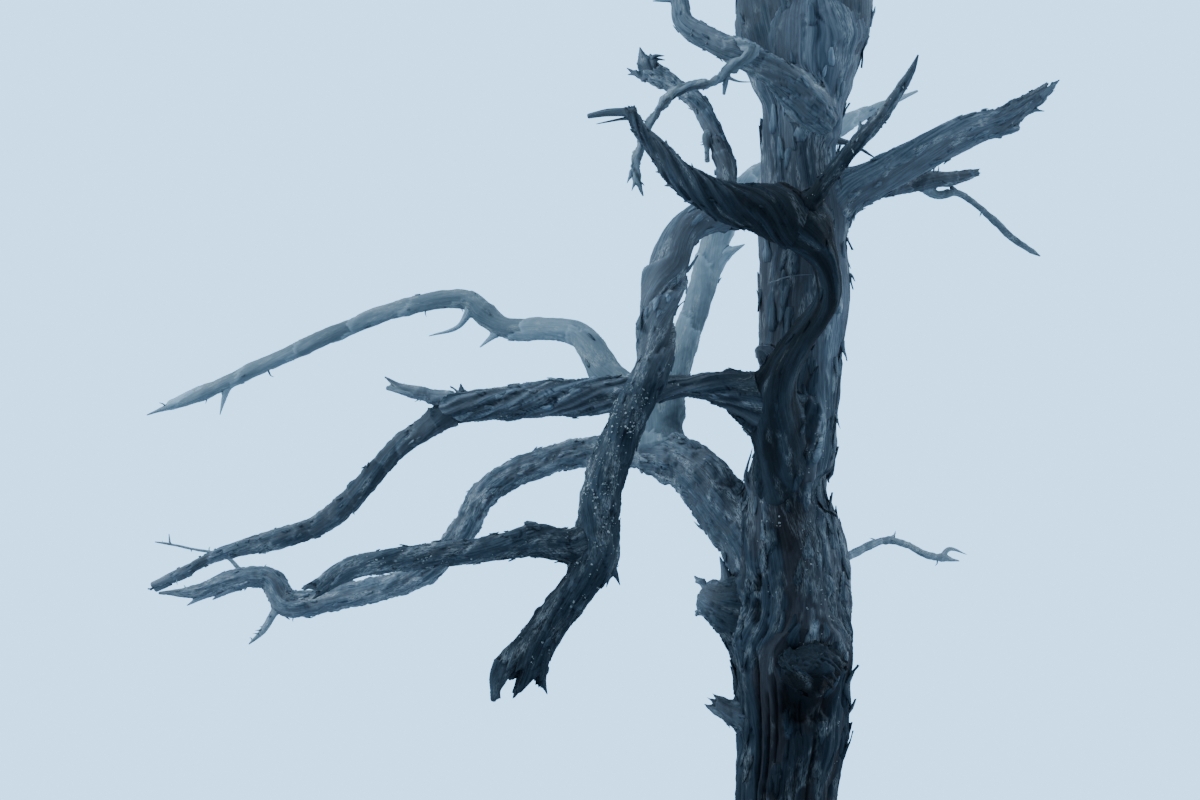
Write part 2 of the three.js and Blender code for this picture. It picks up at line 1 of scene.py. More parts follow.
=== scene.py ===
import math
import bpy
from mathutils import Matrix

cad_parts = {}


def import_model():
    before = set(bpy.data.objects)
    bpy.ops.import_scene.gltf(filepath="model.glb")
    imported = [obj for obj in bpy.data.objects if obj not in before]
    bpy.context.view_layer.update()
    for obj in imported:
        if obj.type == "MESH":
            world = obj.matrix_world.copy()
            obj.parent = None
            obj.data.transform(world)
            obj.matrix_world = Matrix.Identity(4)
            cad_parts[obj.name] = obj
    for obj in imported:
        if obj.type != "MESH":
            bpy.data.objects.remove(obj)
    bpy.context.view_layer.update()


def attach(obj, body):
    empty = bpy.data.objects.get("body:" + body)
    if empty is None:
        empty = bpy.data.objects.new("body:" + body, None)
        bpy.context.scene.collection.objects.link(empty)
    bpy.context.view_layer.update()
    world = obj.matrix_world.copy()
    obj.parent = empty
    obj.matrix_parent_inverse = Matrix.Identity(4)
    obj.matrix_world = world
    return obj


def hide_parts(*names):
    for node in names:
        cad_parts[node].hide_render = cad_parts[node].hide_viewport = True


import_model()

from types import SimpleNamespace

import bpy
import numpy as np
from mathutils import Vector

# The looks of a large dead tree: bark in relief, torn ends, loose strips and lichen, with floor, light
# and camera. Metres, +Z up, the origin under the middle of the trunk.
#
# Places on the limbs, here called knots, are given as across, up, depth and width, as in the part's
# source. Across and up are measured in the upright plane through the trunk, as sighted from the eye, and
# depth is how far behind that plane the place lies. placed() carries such a place along its sight line.

# Sighting
EYE_ACROSS = -1.33
EYE_UP = 7.2
EYE_DISTANCE = 30.0
VIEW_WIDTH = 8.4  # what the camera takes in from side to side, in the plane through the trunk
SENSOR_MM = 36.0

# Grid of the bark meshes
SPACING = 0.0125  # between rows of points along a limb, and between points round it
CROWN_SPACING = 0.02  # on limbs above the photograph's edge
CROWN_START = 9.4  # limbs that start above this height are out of the photograph
FOOT_SPACING = 0.025
FINE_SPACING = 0.02  # on fine twigs
SNAG_SPACING = 0.009
FEWEST_COLUMNS = 9
GIRTH_SHARE = 1.15  # how much longer than a circle a limb's girth is taken to be
TRUNK_COLUMNS = 176
FOOT_TOP = 4.32  # the trunk's mesh is in two pieces, which overlap below this height
FOOT_OVERLAP = 0.05
FOOT_SUNK = 0.012
NEVER_SUNK = 99  # a height above all of the tree

# How limbs flow into what carries them
BLEND_SHARE = 0.95  # width of the fillet, as a share of the limb's first radii
WIDEST_BLEND = 0.2
SEAM_SHARE = 0.5  # how soon a skin dives under the other past their seam, as a share of the fillet
SEAM_SUNK = 0.02
SEAM_SUNK_SHARE = 0.15  # of the fillet, for thin forms
SEAM_RELIEF = 0.25  # relief that is left under the seam
FILLET_STEPS = 4
FILLET_MARGIN = 1.5
ROOT_STRETCH = 6.0  # length of limb that may touch its carrier, in radii
LONGEST_ROOT = 1.3
SHORTEST_ROOT = 0.25
HALF_ROW = 0.75  # how far along a limb each of its rows counts, in gaps between rows
CARRIER_MARGIN = 0.45  # how near to a limb's root its carrier is taken into account
BATCH = 4000  # how many points are measured at once

# The plain round forms, as in the part's source
RING_STEP = 1.7
LONGEST_RING_STEP = 0.4
RING_TURN = 0.35
RING_JITTER = 0.05
JITTER_START = 7
SWELL_TWO, SWELL_THREE, SWELL_TURN = 0.07, 0.05, 1.3
TRUNK_TOP = 10.16
TRUNK_TOP_SUNK = 0.02
TRUNK_DOME = 9.72  # above this the trunk draws in between its two leaders
TRUNK_PROFILE = [
    (0.0, 0.0, 0.85), (1.8, -0.01, 0.8), (3.4, -0.03, 0.73), (4.4, -0.025, 0.685),
    (4.855, 0.015, 0.745), (5.45, 0.005, 0.79), (6.0, 0.012, 0.755), (6.626, 0.0, 0.578),
    (6.934, 0.052, 0.525), (7.375, 0.073, 0.553), (7.942, 0.105, 0.63), (8.355, 0.098, 0.602),
    (9.006, 0.072, 0.5), (9.251, 0.098, 0.545), (9.405, 0.092, 0.595), (9.601, 0.08, 0.725),
    (9.776, 0.09, 0.83), (10.16, 0.112, 0.9),
]
TRUNK_DEPTH_SHARE = 0.92
FORK_DEPTH = 0.56
FORK_START = 9.3
ROOT_SPREAD = 0.72
ROOT_HEIGHT = 0.42
ROOT_RIDGES = 7
RIDGE_WANDER = 0.8
RIDGE_RELIEF = 0.17
RIDGE_HEIGHT = 0.62
TRUNK_LOBES = [(2, 0.03, 0.7, 0.21), (3, 0.035, 2.1, -0.34), (5, 0.022, 4.0, 0.6)]

# How light the trunk is painted, darker low down where it stands in shade, and how much its bark stands
# out, by height
TRUNK_SHADE = [
    (0, 0.5), (4.2, 0.32), (5.2, 0.34), (6.2, 0.47), (6.8, 0.6), (7.6, 0.8), (8.5, 0.9), (9.2, 1.1),
    (13, 1.1),
]
TRUNK_RELIEF = [
    (0, 1.2), (5.4, 1.05), (6.5, 0.75), (7.6, 0.55), (8.3, 0.42), (9.4, 0.42), (10.2, 0.55),
]
GRAIN_RADIUS = 0.35
TOP_FADE = 0.2  # the stretch under the trunk's top in which its relief fades
FLARE_TOP = 0.5  # below this the relief stands out level, so that the foot stays flat

# Marks on the trunk: degrees round it from +X, height, half the width in degrees, half the height, how
# far it stands out, how light it is, and how much lichen it has. The front is at -90. How light is partly
# painted shade, in hollows, pits and grooves and under the front stem, and partly pale streaks and
# lichen of the bark's own.
TRUNK_MARKS = [
    (-36, 5.92, 40, 0.48, 0.026, 1.1, 0.7), (-16, 6.56, 42, 0.15, -0.045, 0.9, 0.2),
    (-71, 5.6, 3, 0.17, 0.003, 1.9, 0.8), (-46, 5.46, 9, 0.14, 0.004, 1.5, 0.6),
    (-72, 5.12, 34, 0.15, -0.035, 0.4, 0.0), (-100, 6.55, 22, 0.4, -0.012, 0.5, 0.1),
    (-122, 6.6, 11, 0.6, 0.004, 1.15, 0.8), (-60, 6.7, 16, 0.6, 0.004, 1.25, 0.8),
    (-131, 5.93, 4, 0.06, -0.03, 0.4, 0.0), (-130, 5.74, 5, 0.08, -0.035, 0.35, 0.0),
    (-95, 5.85, 12, 0.3, 0.006, 0.8, 0.0), (-70, 8.9, 22, 0.24, -0.014, 0.75, 0.0),
    (-97, 4.95, 2.5, 0.1, 0.003, 2.6, 0.0), (-130, 4.85, 2.4, 0.6, -0.03, 0.3, 0.0),
    (-119, 4.7, 2, 0.5, -0.025, 0.35, 0.0), (-110, 5.0, 2.2, 0.35, -0.025, 0.4, 0.0),
    (-84, 4.65, 2, 0.4, -0.02, 0.5, 0.0), (-66, 4.55, 2.2, 0.35, -0.02, 0.5, 0.0),
    (100, 7.4, 24, 0.5, -0.02, 0.7, 0.2), (60, 5.3, 30, 0.6, 0.022, 1.2, 0.5),
    (160, 8.6, 26, 0.5, 0.015, 1.1, 0.4), (20, 3.1, 26, 0.7, 0.02, 1.2, 0.5),
    (-110, 2.5, 30, 0.8, 0.02, 0.9, 0.3), (-60, 1.6, 16, 0.35, -0.03, 0.6, 0.1),
]
MARK_RAGGED = 0.7  # how ragged the marks are, as a share of their sizes
MARK_RADIUS, MARK_STRETCH = 4, 5  # how fine, round the trunk and up it
MARK_OUTSIDE, MARK_INSIDE = 1.12, 0.88

# Broad painted light and shade on the trunk, darker on its front and lighter on its right: degrees
# round it, height, how far each reaches both ways, and how light
TRUNK_LIGHT_AND_SHADE = [
    (-88, 6.5, 26, 0.8, 0.55), (-95, 5.0, 40, 0.35, 0.55), (-115, 4.2, 60, 0.8, 0.6),
    (-150, 7.9, 40, 0.6, 0.65), (-100, 7.9, 40, 0.5, 0.7), (-45, 5.9, 30, 0.5, 1.35),
    (-40, 7.8, 30, 0.7, 1.4), (-170, 5.3, 40, 0.9, 0.95), (-80, 8.55, 60, 0.3, 0.6),
    (-50, 4.4, 40, 0.5, 0.75),
]

# Knots in the trunk's wood, which its grain flows round: degrees round it, height and size
TRUNK_KNOTS = [
    (-72, 5.3, 0.2), (-160, 5.75, 0.22), (172, 4.95, 0.14), (-106, 7.5, 0.12),
    (40, 6.1, 0.1), (100, 7.4, 0.2), (-60, 1.6, 0.2), (150, 3.2, 0.16), (60, 8.9, 0.18),
]
KNOT_FADE = 0.6  # how far round a knot bends the grain in full, as a share of half the way round
FLOW_WANDER = 0.5
FLOW_FINENESS, FLOW_STRETCH = 1.3, 0.9

# The bark's relief: how far its grain wanders to both sides and along, in patterns of what size, where
# its plates, cracks, scales and strands begin, and how much painted shade or highlight each gives it
WANDERS = ((0.05, 0.16), (0.05, 0.16), (0.16, 0.09))
PLATE_LEVEL, PLATE_EDGE = 0.1, 0.03
CRACK_WIDTH = 0.2
CRACK_ON_WOOD = 0.4  # depth of a crack where the outer bark has gone, as a share
CRACKED_ACROSS, CRACKED_ALONG, CRACKED_SHARE = 0.25, 0.3, 0.7
CRACKED_FROM, CRACKED_TO = 0.3, 0.6
COARSE_WANDER, FINE_WANDER = 0.22, 0.06
# the width of the painted shadow under the lip of a scale or sheet
SCALE_EDGE = 0.2
SHEET_SIZE, SHEET_SHARE = 0.5, 0.7  # the stretch that has one shade: across, and in scale lengths
SHEET_TONE = 0.5  # how much one sheet or scale may differ in shade from the next
LIP_START = 0.8
LIP_HIGHLIGHT = 0.5  # painted highlight: how much lighter the lip of a sheet is
STRAND_WANDER = 4.5
STRAND_WANDER_SIZES = (0.2, 0.2, 0.35)
STRAND_SIZES = (0.12, 0.12, 0.4)
STRAND_FROM, STRAND_TO = 0.35, 0.6
THIN_STRAND = 0.35  # depth of the strands where they are faintest
STRAND_LEVEL = 0.7
# painted shade between strands: how dark, and how wide
STRAND_EDGE, STRAND_EDGE_WIDTH = 0.9, 0.5
STRAND_HIGHLIGHT = 0.9  # painted highlight: how much lighter the crest of a strand is than its side
STRAND_CREST, STRAND_MEAN = 0.55, 0.4
# how much painted shade the cracks, the edges of scales and strands, and the grooves between fibres take
CREVICE_CRACK, CREVICE_EDGE, CREVICE_FIBRE = 0.7, 0.3, 0.9
CRUST_LEVEL, CRUST_LOWERED, MOST_CRUST, CRUST_EDGE = 0.62, 0.3, 1.2, 0.12
CRUST_ACROSS, CRUST_ALONG = 0.07, 0.2
TONE_ACROSS, TONE_ALONG = 0.3, 0.6
TONE_LOW, TONE_RANGE = 0.7, 0.6
SHADE_RANGE = 3.0  # the lightest painted shade that the meshes can hold
BARK_CHANGE = 0.03  # half of the stretch in which one bark takes over from another
FULL_RELIEF_RADIUS = 0.13  # thinner limbs have lower relief, in proportion
RELIEF_POWER = 0.75
CREVICE_LEFT = 0.3  # how dark the painted shade in crevices stays on the thinnest limbs

# Ends of limbs. Lengths and depths are in radii.
BROKEN_SHARES = (0.04, 0.12, 0.25, 0.4, 0.55, 0.7, 0.85, 0.96)
BROKEN_HOLLOW, BROKEN_DEEPER = 0.55, 0.05
BROKEN_ROUGH = 0.75
BROKEN_RIM, BROKEN_NARROWING = 0.94, 0.92
BROKEN_FINENESS, BROKEN_COARSENESS = 5, 0.4
TORN_HOLLOW_SHADE = (0.2, 0.9)  # painted shade that torn wood adds, from its rim to its middle, darkest in the hollow
END_GRAIN = (0.9, 0.2)  # how far the grain draws in over an end, from its rim to its middle
MOUND_END_RELIEF = 0.5  # of the last two rows of a swept stub
ROUND_SHARES = (0.25, 0.5, 0.75, 0.92)
ROUND_HEIGHT = 0.6
ROOT_SUNK = 0.3  # how far under its first ring a limb is closed
TORN_LENGTH = 3.2
TORN_REACH, TORN_POWER, TORN_BACK = 1.5, 1.7, 0.6
SPIKES = [(0.8, 2.2), (0.5, 5.5), (-0.25, 11)]  # strength and fineness
SWEEP = (0.66, -0.1, -0.75)  # the way of the fibres in swept bark
BROW_SHARE = 0.55  # how far a swept stub's upper half is pressed down
CHIN_SHARE = 0.3  # how far its lower half is drawn back
CHIN_SHADE = 0.25  # painted shade on its lower half, as in a hollow under the brow: how light it is
CHIN_TOP, CHIN_START = 0.02, -0.05  # where that painted shade begins and is full, above its middle line

# Loose strips, lichen, fine twigs and floor
STRIP_SIZES = (0.35, 1)  # shares of the largest
STRIP_STRETCH = (0.06, 0.94)  # of a limb's length
STRIP_LIFTS = (0.3, 1)
STRIP_ROWS = 5
STRIP_COLUMNS = 3
STRIP_THICKNESS = 0.01
STRIP_ROOT_THICKNESS, STRIP_THINNING = 1.8, 1.5
STRIP_EDGE_THINNING = 0.4
STRIP_UNDER = 0.3  # how much of its thickness lies under its middle
STRIP_SUNK = 0.008
STRIP_UNEVEN = 0.35
STRIP_NARROWING = 0.7
STRIP_ROOT_WIDTH = 0.75  # how wide its fast end is, as a share
STRIP_DRIFT = 0.5
STRIP_CURL = (-0.1, 0.25)
STRIP_BOW = (0.9, 2.2)
STRIP_ROUGH = 0.003
# how much painted crevice shade lies over each strip
STRIP_CREVICE = 0.1
STRIP_SHADES = (0.8, 1.5)
BACKWARDS_SHARE = 0.4  # of the strips that are lifted at the end nearer the limb's root
NARROWEST_PITCH = 0.002
NORMAL_REACH = 2.0  # how many rows and columns a grid's outward direction is measured over
FAR_SIDE_PENALTY = 0.05  # how far off a metre of depth counts, to keep to the side towards the eye
CRUST_SIDES = 7
CRUST_HEIGHT = 0.0035
CRUST_RAGGED = (0.4, 1.3)
CRUST_LEAST, CRUST_MORE = 0.35, 0.85  # the smallest one's size, and how much larger they may be
CRUST_CLUSTER = (1, 5)
CRUST_SPREAD = 1.6  # of a cluster, in rows
CRUST_SHADES = (0.1, 0.26)
SKEW = (0.31, 0.52, 0.79)  # a direction that no surface happens to face
SPUR_STRETCH = (0.3, 0.97)
SPUR_LENGTHS = (0.35, 1)
SPUR_LEAN = (-0.2, 0.9)
SPUR_BEND = 0.5
SPUR_SUNK, SPUR_OUT = 0.4, 0.6  # where one starts, and how far out it bends, in its limb's radii
SPUR_WIDTHS = (1.2, 0.7, 0.2)
THICKEST_SPUR = 0.5  # in its limb's radii
SPUR_THICKNESS, SPUR_THICKER = 0.09, 0.003  # its radius, as a share of its length and in metres
SNAG_LIGHTER = 1.3  # how light a splinter's end is next to its limb's
STRIP_SEED, FOOT_SEED, FLAP_SEED, LICHEN_SEED, SPUR_SEED = 300, 290, 77, 500, 700
TRUNK_SEED, MARK_SEED, FLOW_SEED, END_SEED = 4001, 71, 83, 91
BARK_SEEDS, TEAR_SEEDS = 100000, 1000  # how many seeds the limbs' names choose from
SHADOW_TINT = (0.68, 0.95, 1.1)  # what painted shade does to the bark's colours: it tints them blue
WOOD_SHADOW_TINT = (1.0, 0.93, 0.97)  # what painted shade does to the trunk's bare wood
STREAK_WIDTH = 0.016
MOTTLE_SIZES = (0.09, 0.2)
FINE_WIDTH, FINE_SHARE = 0.006, 0.1  # of the finest streaks, and how long they are next to the others
GLOSS = 0.12
BUMP_STRENGTH, BUMP_HEIGHT = 0.7, 0.006
FLOOR_RADIUS = 20.0
FLOOR_COLOUR = (0.52, 0.61, 0.69)
FLOOR_DROP = 0.001
FURTHEST_SEEN = 500
LIGHT_AIM = (0, 0, 8)
SKY_SEEN = (1.05, 2.04, 3.15)
SKY_LIGHT = (0.78, 0.88, 1.0)
SKY_EVENNESS = 0.3  # light from straight below or in front, as a share of the brightest

LIMBS = {}


def limb(name, carriers, end, slot, bark, shade, knots, nodes="", later=()):
    LIMBS[name] = SimpleNamespace(
        nodes=nodes.split() or [name], carriers=carriers.split(), end=end, slot=slot, bark=bark,
        shade=shade, knots=knots, later=later,
    )


# Limbs: what carries each, its end, slot, bark, shade and knots, the nodes that it stands for if it
# isn't one of the same name, and the barks that take over along it, each with the share of its length
# where it does. An end is broken off, rounded or drawn to a tip. Shade is painted light and shade, from
# the limb's root to its end: darker where limbs lie in shade in front of the trunk, and paler on the far
# limbs, as if seen through bright mist.
limb("front_stem", "trunk", "round", "bark", "sinewy", (0.3, 0.26, 0.22, 0.22), [
    (-0.06, 6.5, -0.06, 0.3), (-0.098, 6.9, -0.33, 0.33), (-0.085, 7.33, -0.52, 0.27),
    (0.084, 7.634, -0.6, 0.205), (0.255, 7.88, -0.67, 0.19), (0.262, 8.11, -0.76, 0.185),
    (0.165, 8.33, -0.84, 0.27), (0.06, 8.48, -0.9, 0.39),
])
limb("twisted_bough", "front_stem", "broken", "bark", "rope", (0.16, 0.18, 0.36, 0.7, 0.85), [
    (0.06, 8.45, -0.9, 0.33), (-0.175, 8.53, -0.94, 0.38), (-0.45, 8.59, -0.99, 0.29),
    (-0.76, 8.77, -1.08, 0.215), (-0.91, 8.929, -1.16, 0.155), (-1.06, 9.11, -1.25, 0.108),
    (-1.116, 9.232, -1.325, 0.07),
], "twisted_bough twisted_bough_tip")
limb("upright_bough", "front_stem twisted_bough", "tip", "bark", "rough", (0.12, 0.2, 0.45, 0.75, 1.0), [
    (0.08, 8.5, -0.96, 0.19), (0.19, 8.645, -1.01, 0.14), (0.413, 8.929, -1.08, 0.106),
    (0.648, 9.195, -1.15, 0.096), (0.782, 9.397, -1.23, 0.068), (0.852, 9.51, -1.27, 0.046),
    (0.896, 9.615, -1.3, 0.012),
])
limb("right_bough", "trunk", "broken", "bark", "sleeve", (1.0, 1.3, 1.4, 1.3), [
    (0.13, 8.47, -0.02, 0.33), (0.41, 8.65, 0.0, 0.295), (0.63, 8.761, 0.04, 0.255),
    (1.215, 9.068, 0.18, 0.222), (1.48, 9.165, 0.25, 0.165), (1.715, 9.32, 0.32, 0.105),
    (1.8, 9.385, 0.35, 0.065),
], later=[("torn", 0.74)])
limb("right_low_bough", "right_bough trunk", "broken", "bark", "rough", (0.9, 1.1), [
    (0.51, 8.67, 0.06, 0.15), (0.77, 8.691, 0.26, 0.112), (0.98, 8.74, 0.38, 0.118),
    (1.155, 8.754, 0.48, 0.1), (1.32, 8.793, 0.58, 0.05),
])
limb("right_low_twig", "right_low_bough", "tip", "twigs", "dry", (1.2, 1.4), [
    (0.9, 8.71, 0.35, 0.07), (1.03, 8.635, 0.41, 0.066), (1.169, 8.649, 0.47, 0.05),
    (1.414, 8.468, 0.6, 0.052), (1.554, 8.336, 0.68, 0.052), (1.694, 8.243, 0.74, 0.038),
    (1.75, 8.208, 0.76, 0.01),
])
limb("crossing_bough", "trunk", "broken", "weathered_bark", "rough", (0.85, 1.25, 1.4, 1.5), [
    (0.245, 9.125, -0.15, 0.15), (0.13, 9.265, -0.3, 0.29), (0.0, 9.412, -0.385, 0.25),
    (-0.175, 9.545, -0.42, 0.205), (-0.48, 9.686, -0.4, 0.19), (-0.735, 9.845, -0.35, 0.15),
    (-0.768, 10.0, -0.33, 0.125), (-0.812, 10.315, -0.33, 0.105), (-0.77, 10.76, -0.4, 0.06),
], "crossing_bough crossing_bough_tip", [("fibrous", 0.45)])
limb("crossing_bough_twig", "crossing_bough", "tip", "twigs", "gnarled", (1.3, 1.2), [
    (-0.4, 9.72, -0.44, 0.068), (-0.262, 9.64, -0.59, 0.08), (-0.42, 9.517, -0.61, 0.078),
    (-0.525, 9.426, -0.6, 0.07), (-0.777, 9.37, -0.62, 0.068), (-0.966, 9.167, -0.64, 0.058),
    (-1.05, 8.957, -0.65, 0.064), (-1.085, 8.83, -0.66, 0.09), (-1.029, 8.63, -0.66, 0.01),
])
limb("bent_bough", "trunk", "broken", "bark", "sleeve", (1.1, 1.15, 1.0, 0.36, 0.33, 0.37, 0.36), [
    (-0.06, 8.5, -0.12, 0.25), (-0.315, 8.525, -0.33, 0.225), (-0.56, 8.49, -0.48, 0.235),
    (-0.74, 8.37, -0.58, 0.245), (-0.866, 8.068, -0.66, 0.305), (-0.922, 7.8, -0.72, 0.282),
    (-0.952, 7.44, -0.79, 0.265), (-1.134, 7.067, -0.86, 0.265), (-1.322, 6.54, -0.93, 0.3),
    (-1.362, 6.08, -0.985, 0.285), (-1.526, 5.842, -1.02, 0.245), (-1.74, 5.565, -1.08, 0.248),
    (-1.91, 5.285, -1.145, 0.33),
], "bent_bough_arch bent_bough_middle bent_bough_lower_arm", [("sheets", 0.27), ("speckled", 0.44)])
limb("bent_bough_left_arm", "bent_bough", "broken", "bark", "flecked", (0.26, 0.42, 0.66, 0.7), [
    (-1.38, 6.185, -0.97, 0.235), (-1.54, 6.174, -1.0, 0.215), (-1.785, 6.213, -1.04, 0.222),
    (-2.065, 6.164, -1.08, 0.168), (-2.73, 6.087, -1.18, 0.174), (-3.1, 6.012, -1.23, 0.16),
    (-3.33, 5.873, -1.26, 0.118),
])
limb("short_bough", "bent_bough", "broken", "bark", "rough", (0.9, 1.15), [
    (-0.395, 8.47, -0.395, 0.18), (-0.441, 8.67, -0.38, 0.16), (-0.448, 8.845, -0.34, 0.15),
    (-0.511, 9.02, -0.3, 0.14), (-0.644, 9.279, -0.22, 0.14), (-0.8, 9.4, -0.18, 0.136),
    (-0.975, 9.505, -0.15, 0.152),
])
limb("short_bough_twig", "short_bough", "round", "twigs", "dry", (1.0, 1.1), [
    (-0.53, 9.1, -0.28, 0.04), (-0.585, 9.05, -0.345, 0.058), (-0.582, 8.96, -0.352, 0.032),
    (-0.58, 8.873, -0.352, 0.042),
])
limb("left_bough", "trunk front_stem", "round", "bark", "twisted", (0.3, 0.5, 0.8, 0.85), [
    (-0.01, 7.04, -0.26, 0.33), (-0.235, 7.17, -0.41, 0.34), (-0.46, 7.285, -0.46, 0.24),
    (-0.72, 7.298, -0.455, 0.14), (-1.204, 7.24, -0.41, 0.25), (-1.75, 7.205, -0.35, 0.264),
    (-2.4, 7.15, -0.28, 0.205),
], "left_bough_root left_bough")
limb("left_bough_lower_arm", "left_bough", "tip", "bark", "rough", (0.6, 0.95), [
    (-2.38, 7.12, -0.285, 0.18), (-2.52, 7.025, -0.27, 0.155), (-2.73, 6.878, -0.25, 0.134),
    (-3.112, 6.463, -0.18, 0.158), (-3.325, 6.311, -0.14, 0.142), (-3.563, 6.234, -0.1, 0.148),
    (-4.025, 6.108, 0.0, 0.085), (-4.27, 5.982, 0.05, 0.078), (-4.48, 5.877, 0.1, 0.014),
])
limb("left_bough_tip", "left_bough left_bough_lower_arm", "tip", "weathered_bark", "dry", (0.9, 1.1), [
    (-2.37, 7.19, -0.285, 0.125), (-2.52, 7.235, -0.3, 0.105), (-2.695, 7.275, -0.32, 0.062),
    (-2.835, 7.361, -0.34, 0.012),
])
limb("low_bough", "trunk", "tip", "bark", "scaly", (0.7, 1.1, 1.15, 1.25, 1.3), [
    (-0.12, 5.9, 0.02, 0.3), (-0.315, 6.2, 0.06, 0.35), (-0.465, 6.42, 0.15, 0.365),
    (-0.605, 6.645, 0.27, 0.385), (-0.795, 6.785, 0.4, 0.305), (-1.029, 6.836, 0.54, 0.205),
    (-1.47, 6.83, 0.68, 0.188), (-1.795, 6.74, 0.79, 0.19), (-2.11, 6.566, 0.88, 0.194),
    (-2.3, 6.268, 0.96, 0.183), (-2.555, 5.996, 1.03, 0.184), (-3.15, 5.815, 1.16, 0.186),
    (-3.52, 5.778, 1.23, 0.196), (-3.654, 5.95, 1.26, 0.162), (-3.92, 5.938, 1.32, 0.142),
    (-4.14, 5.866, 1.37, 0.095), (-4.417, 5.849, 1.42, 0.014),
], "low_bough_root low_bough_middle low_bough_outer low_bough_tip")
limb("low_bough_hanging_twig", "low_bough", "tip", "twigs", "dry", (1.2, 1.3), [
    (-3.57, 5.79, 1.24, 0.064), (-3.612, 5.709, 1.24, 0.054), (-3.696, 5.576, 1.25, 0.048),
    (-3.787, 5.492, 1.26, 0.01),
])
limb("low_bough_fine_twig", "low_bough", "tip", "twigs", "dry", (1.2, 1.2), [
    (-3.83, 5.99, 1.3, 0.03), (-3.948, 6.101, 1.33, 0.024), (-4.214, 6.164, 1.38, 0.02),
    (-4.347, 6.192, 1.41, 0.02), (-4.445, 6.206, 1.43, 0.008),
])
limb("far_bough", "low_bough", "tip", "bare_wood", "smooth", (0.7, 1.0, 1.3, 1.5, 1.6), [
    (-0.905, 6.83, 0.44, 0.265), (-0.852, 7.2, 0.64, 0.24), (-0.749, 7.55, 0.85, 0.212),
    (-0.633, 7.9, 1.08, 0.188), (-0.53, 8.29, 1.35, 0.19), (-0.29, 8.705, 1.75, 0.18),
    (0.04, 8.89, 2.18, 0.16), (0.357, 9.125, 2.7, 0.14), (0.889, 9.363, 3.35, 0.02),
], "far_bough_lower far_bough_upper far_bough_tip")
limb("pale_bough", "far_bough", "tip", "bare_wood", "smooth", (0.85, 1.0, 0.92, 1.4, 1.7), [
    (-0.85, 7.06, 0.56, 0.23), (-1.06, 7.205, 0.7, 0.232), (-1.28, 7.365, 0.86, 0.236),
    (-1.488, 7.66, 1.08, 0.172), (-1.995, 7.708, 1.38, 0.138), (-2.132, 7.795, 1.48, 0.17),
    (-2.24, 7.9, 1.56, 0.138), (-2.73, 7.837, 1.85, 0.122), (-3.43, 7.555, 2.15, 0.118),
    (-4.13, 7.238, 2.37, 0.1), (-4.501, 7.095, 2.45, 0.01),
], "pale_bough_root pale_bough pale_bough_tip")
limb("right_twig", "trunk", "tip", "twigs", "dry", (1.3, 1.4), [
    (0.2, 6.06, 0.15, 0.074), (0.378, 6.094, 0.27, 0.06), (0.644, 6.213, 0.54, 0.058),
    (0.819, 6.185, 0.78, 0.044), (0.938, 6.122, 0.95, 0.046), (1.078, 6.094, 1.15, 0.052),
    (1.183, 6.073, 1.3, 0.01),
])
limb("left_stub", "trunk low_bough", "round", "bark", "torn", (0.2, 0.22, 0.27, 0.5, 1.15), [
    (-0.18, 5.69, 0.01, 0.43), (-0.39, 5.74, 0.03, 0.4), (-0.525, 5.79, 0.05, 0.29),
    (-0.572, 5.815, 0.062, 0.235),
])
limb("lower_left_stub", "trunk", "broken", "bark", "torn", (0.5, 1.0), [
    (-0.22, 4.92, -0.03, 0.215), (-0.38, 4.99, -0.05, 0.175), (-0.54, 5.09, -0.08, 0.112),
])
limb("front_stub", "trunk", "round", "bark", "swept", (0.2, 0.3), [
    (0.14, 5.42, -0.12, 0.4), (0.14, 5.37, -0.39, 0.39), (0.13, 5.3, -0.56, 0.33),
])
limb("back_bough", "trunk", "tip", "bark", "fibrous", (0.8, 1.1), [
    (0.06, 6.88, 0.06, 0.3), (0.06, 7.08, 0.6, 0.23), (0.105, 7.26, 1.25, 0.185), (0.02, 7.36, 1.9, 0.15),
    (0.11, 7.64, 2.5, 0.118), (0.06, 7.82, 3.05, 0.078), (0.11, 8.06, 3.45, 0.014),
], "back_bough back_bough_tip")
limb("back_bough_fork", "back_bough", "tip", "weathered_bark", "rough", (1.0, 1.2), [
    (0.105, 7.23, 1.15, 0.12), (0.05, 7.85, 1.38, 0.105), (0.11, 8.42, 1.42, 0.08),
    (0.04, 8.95, 1.5, 0.055), (0.09, 9.3, 1.6, 0.014),
])
limb("high_back_bough", "trunk", "tip", "bark", "fibrous", (1.0, 1.2), [
    (0.07, 9.42, 0.06, 0.26), (0.06, 9.85, 0.62, 0.205), (0.0, 10.36, 1.15, 0.165),
    (0.13, 10.76, 1.75, 0.135), (-0.18, 11.02, 2.3, 0.1), (-0.15, 11.36, 2.8, 0.062),
    (-0.42, 11.62, 3.2, 0.014),
], "high_back_bough high_back_bough_tip")
limb("high_back_fork", "high_back_bough", "tip", "weathered_bark", "rough", (1.1, 1.2), [
    (0.03, 10.46, 1.26, 0.12), (0.48, 10.9, 1.6, 0.098), (0.9, 11.08, 2.15, 0.072), (1.32, 11.5, 2.5, 0.014),
])
limb("left_leader", "trunk", "broken", "bark", "fibrous", (1.0, 1.15), [
    (-0.075, 9.6, 0.0, 0.42), (-0.125, 10.0, 0.0, 0.45), (-0.175, 10.56, -0.02, 0.405),
    (-0.25, 11.15, -0.05, 0.35), (-0.19, 11.7, -0.02, 0.295), (-0.33, 12.3, 0.04, 0.235),
    (-0.31, 12.9, 0.08, 0.17), (-0.44, 13.6, 0.1, 0.1),
], "left_leader left_leader_top")
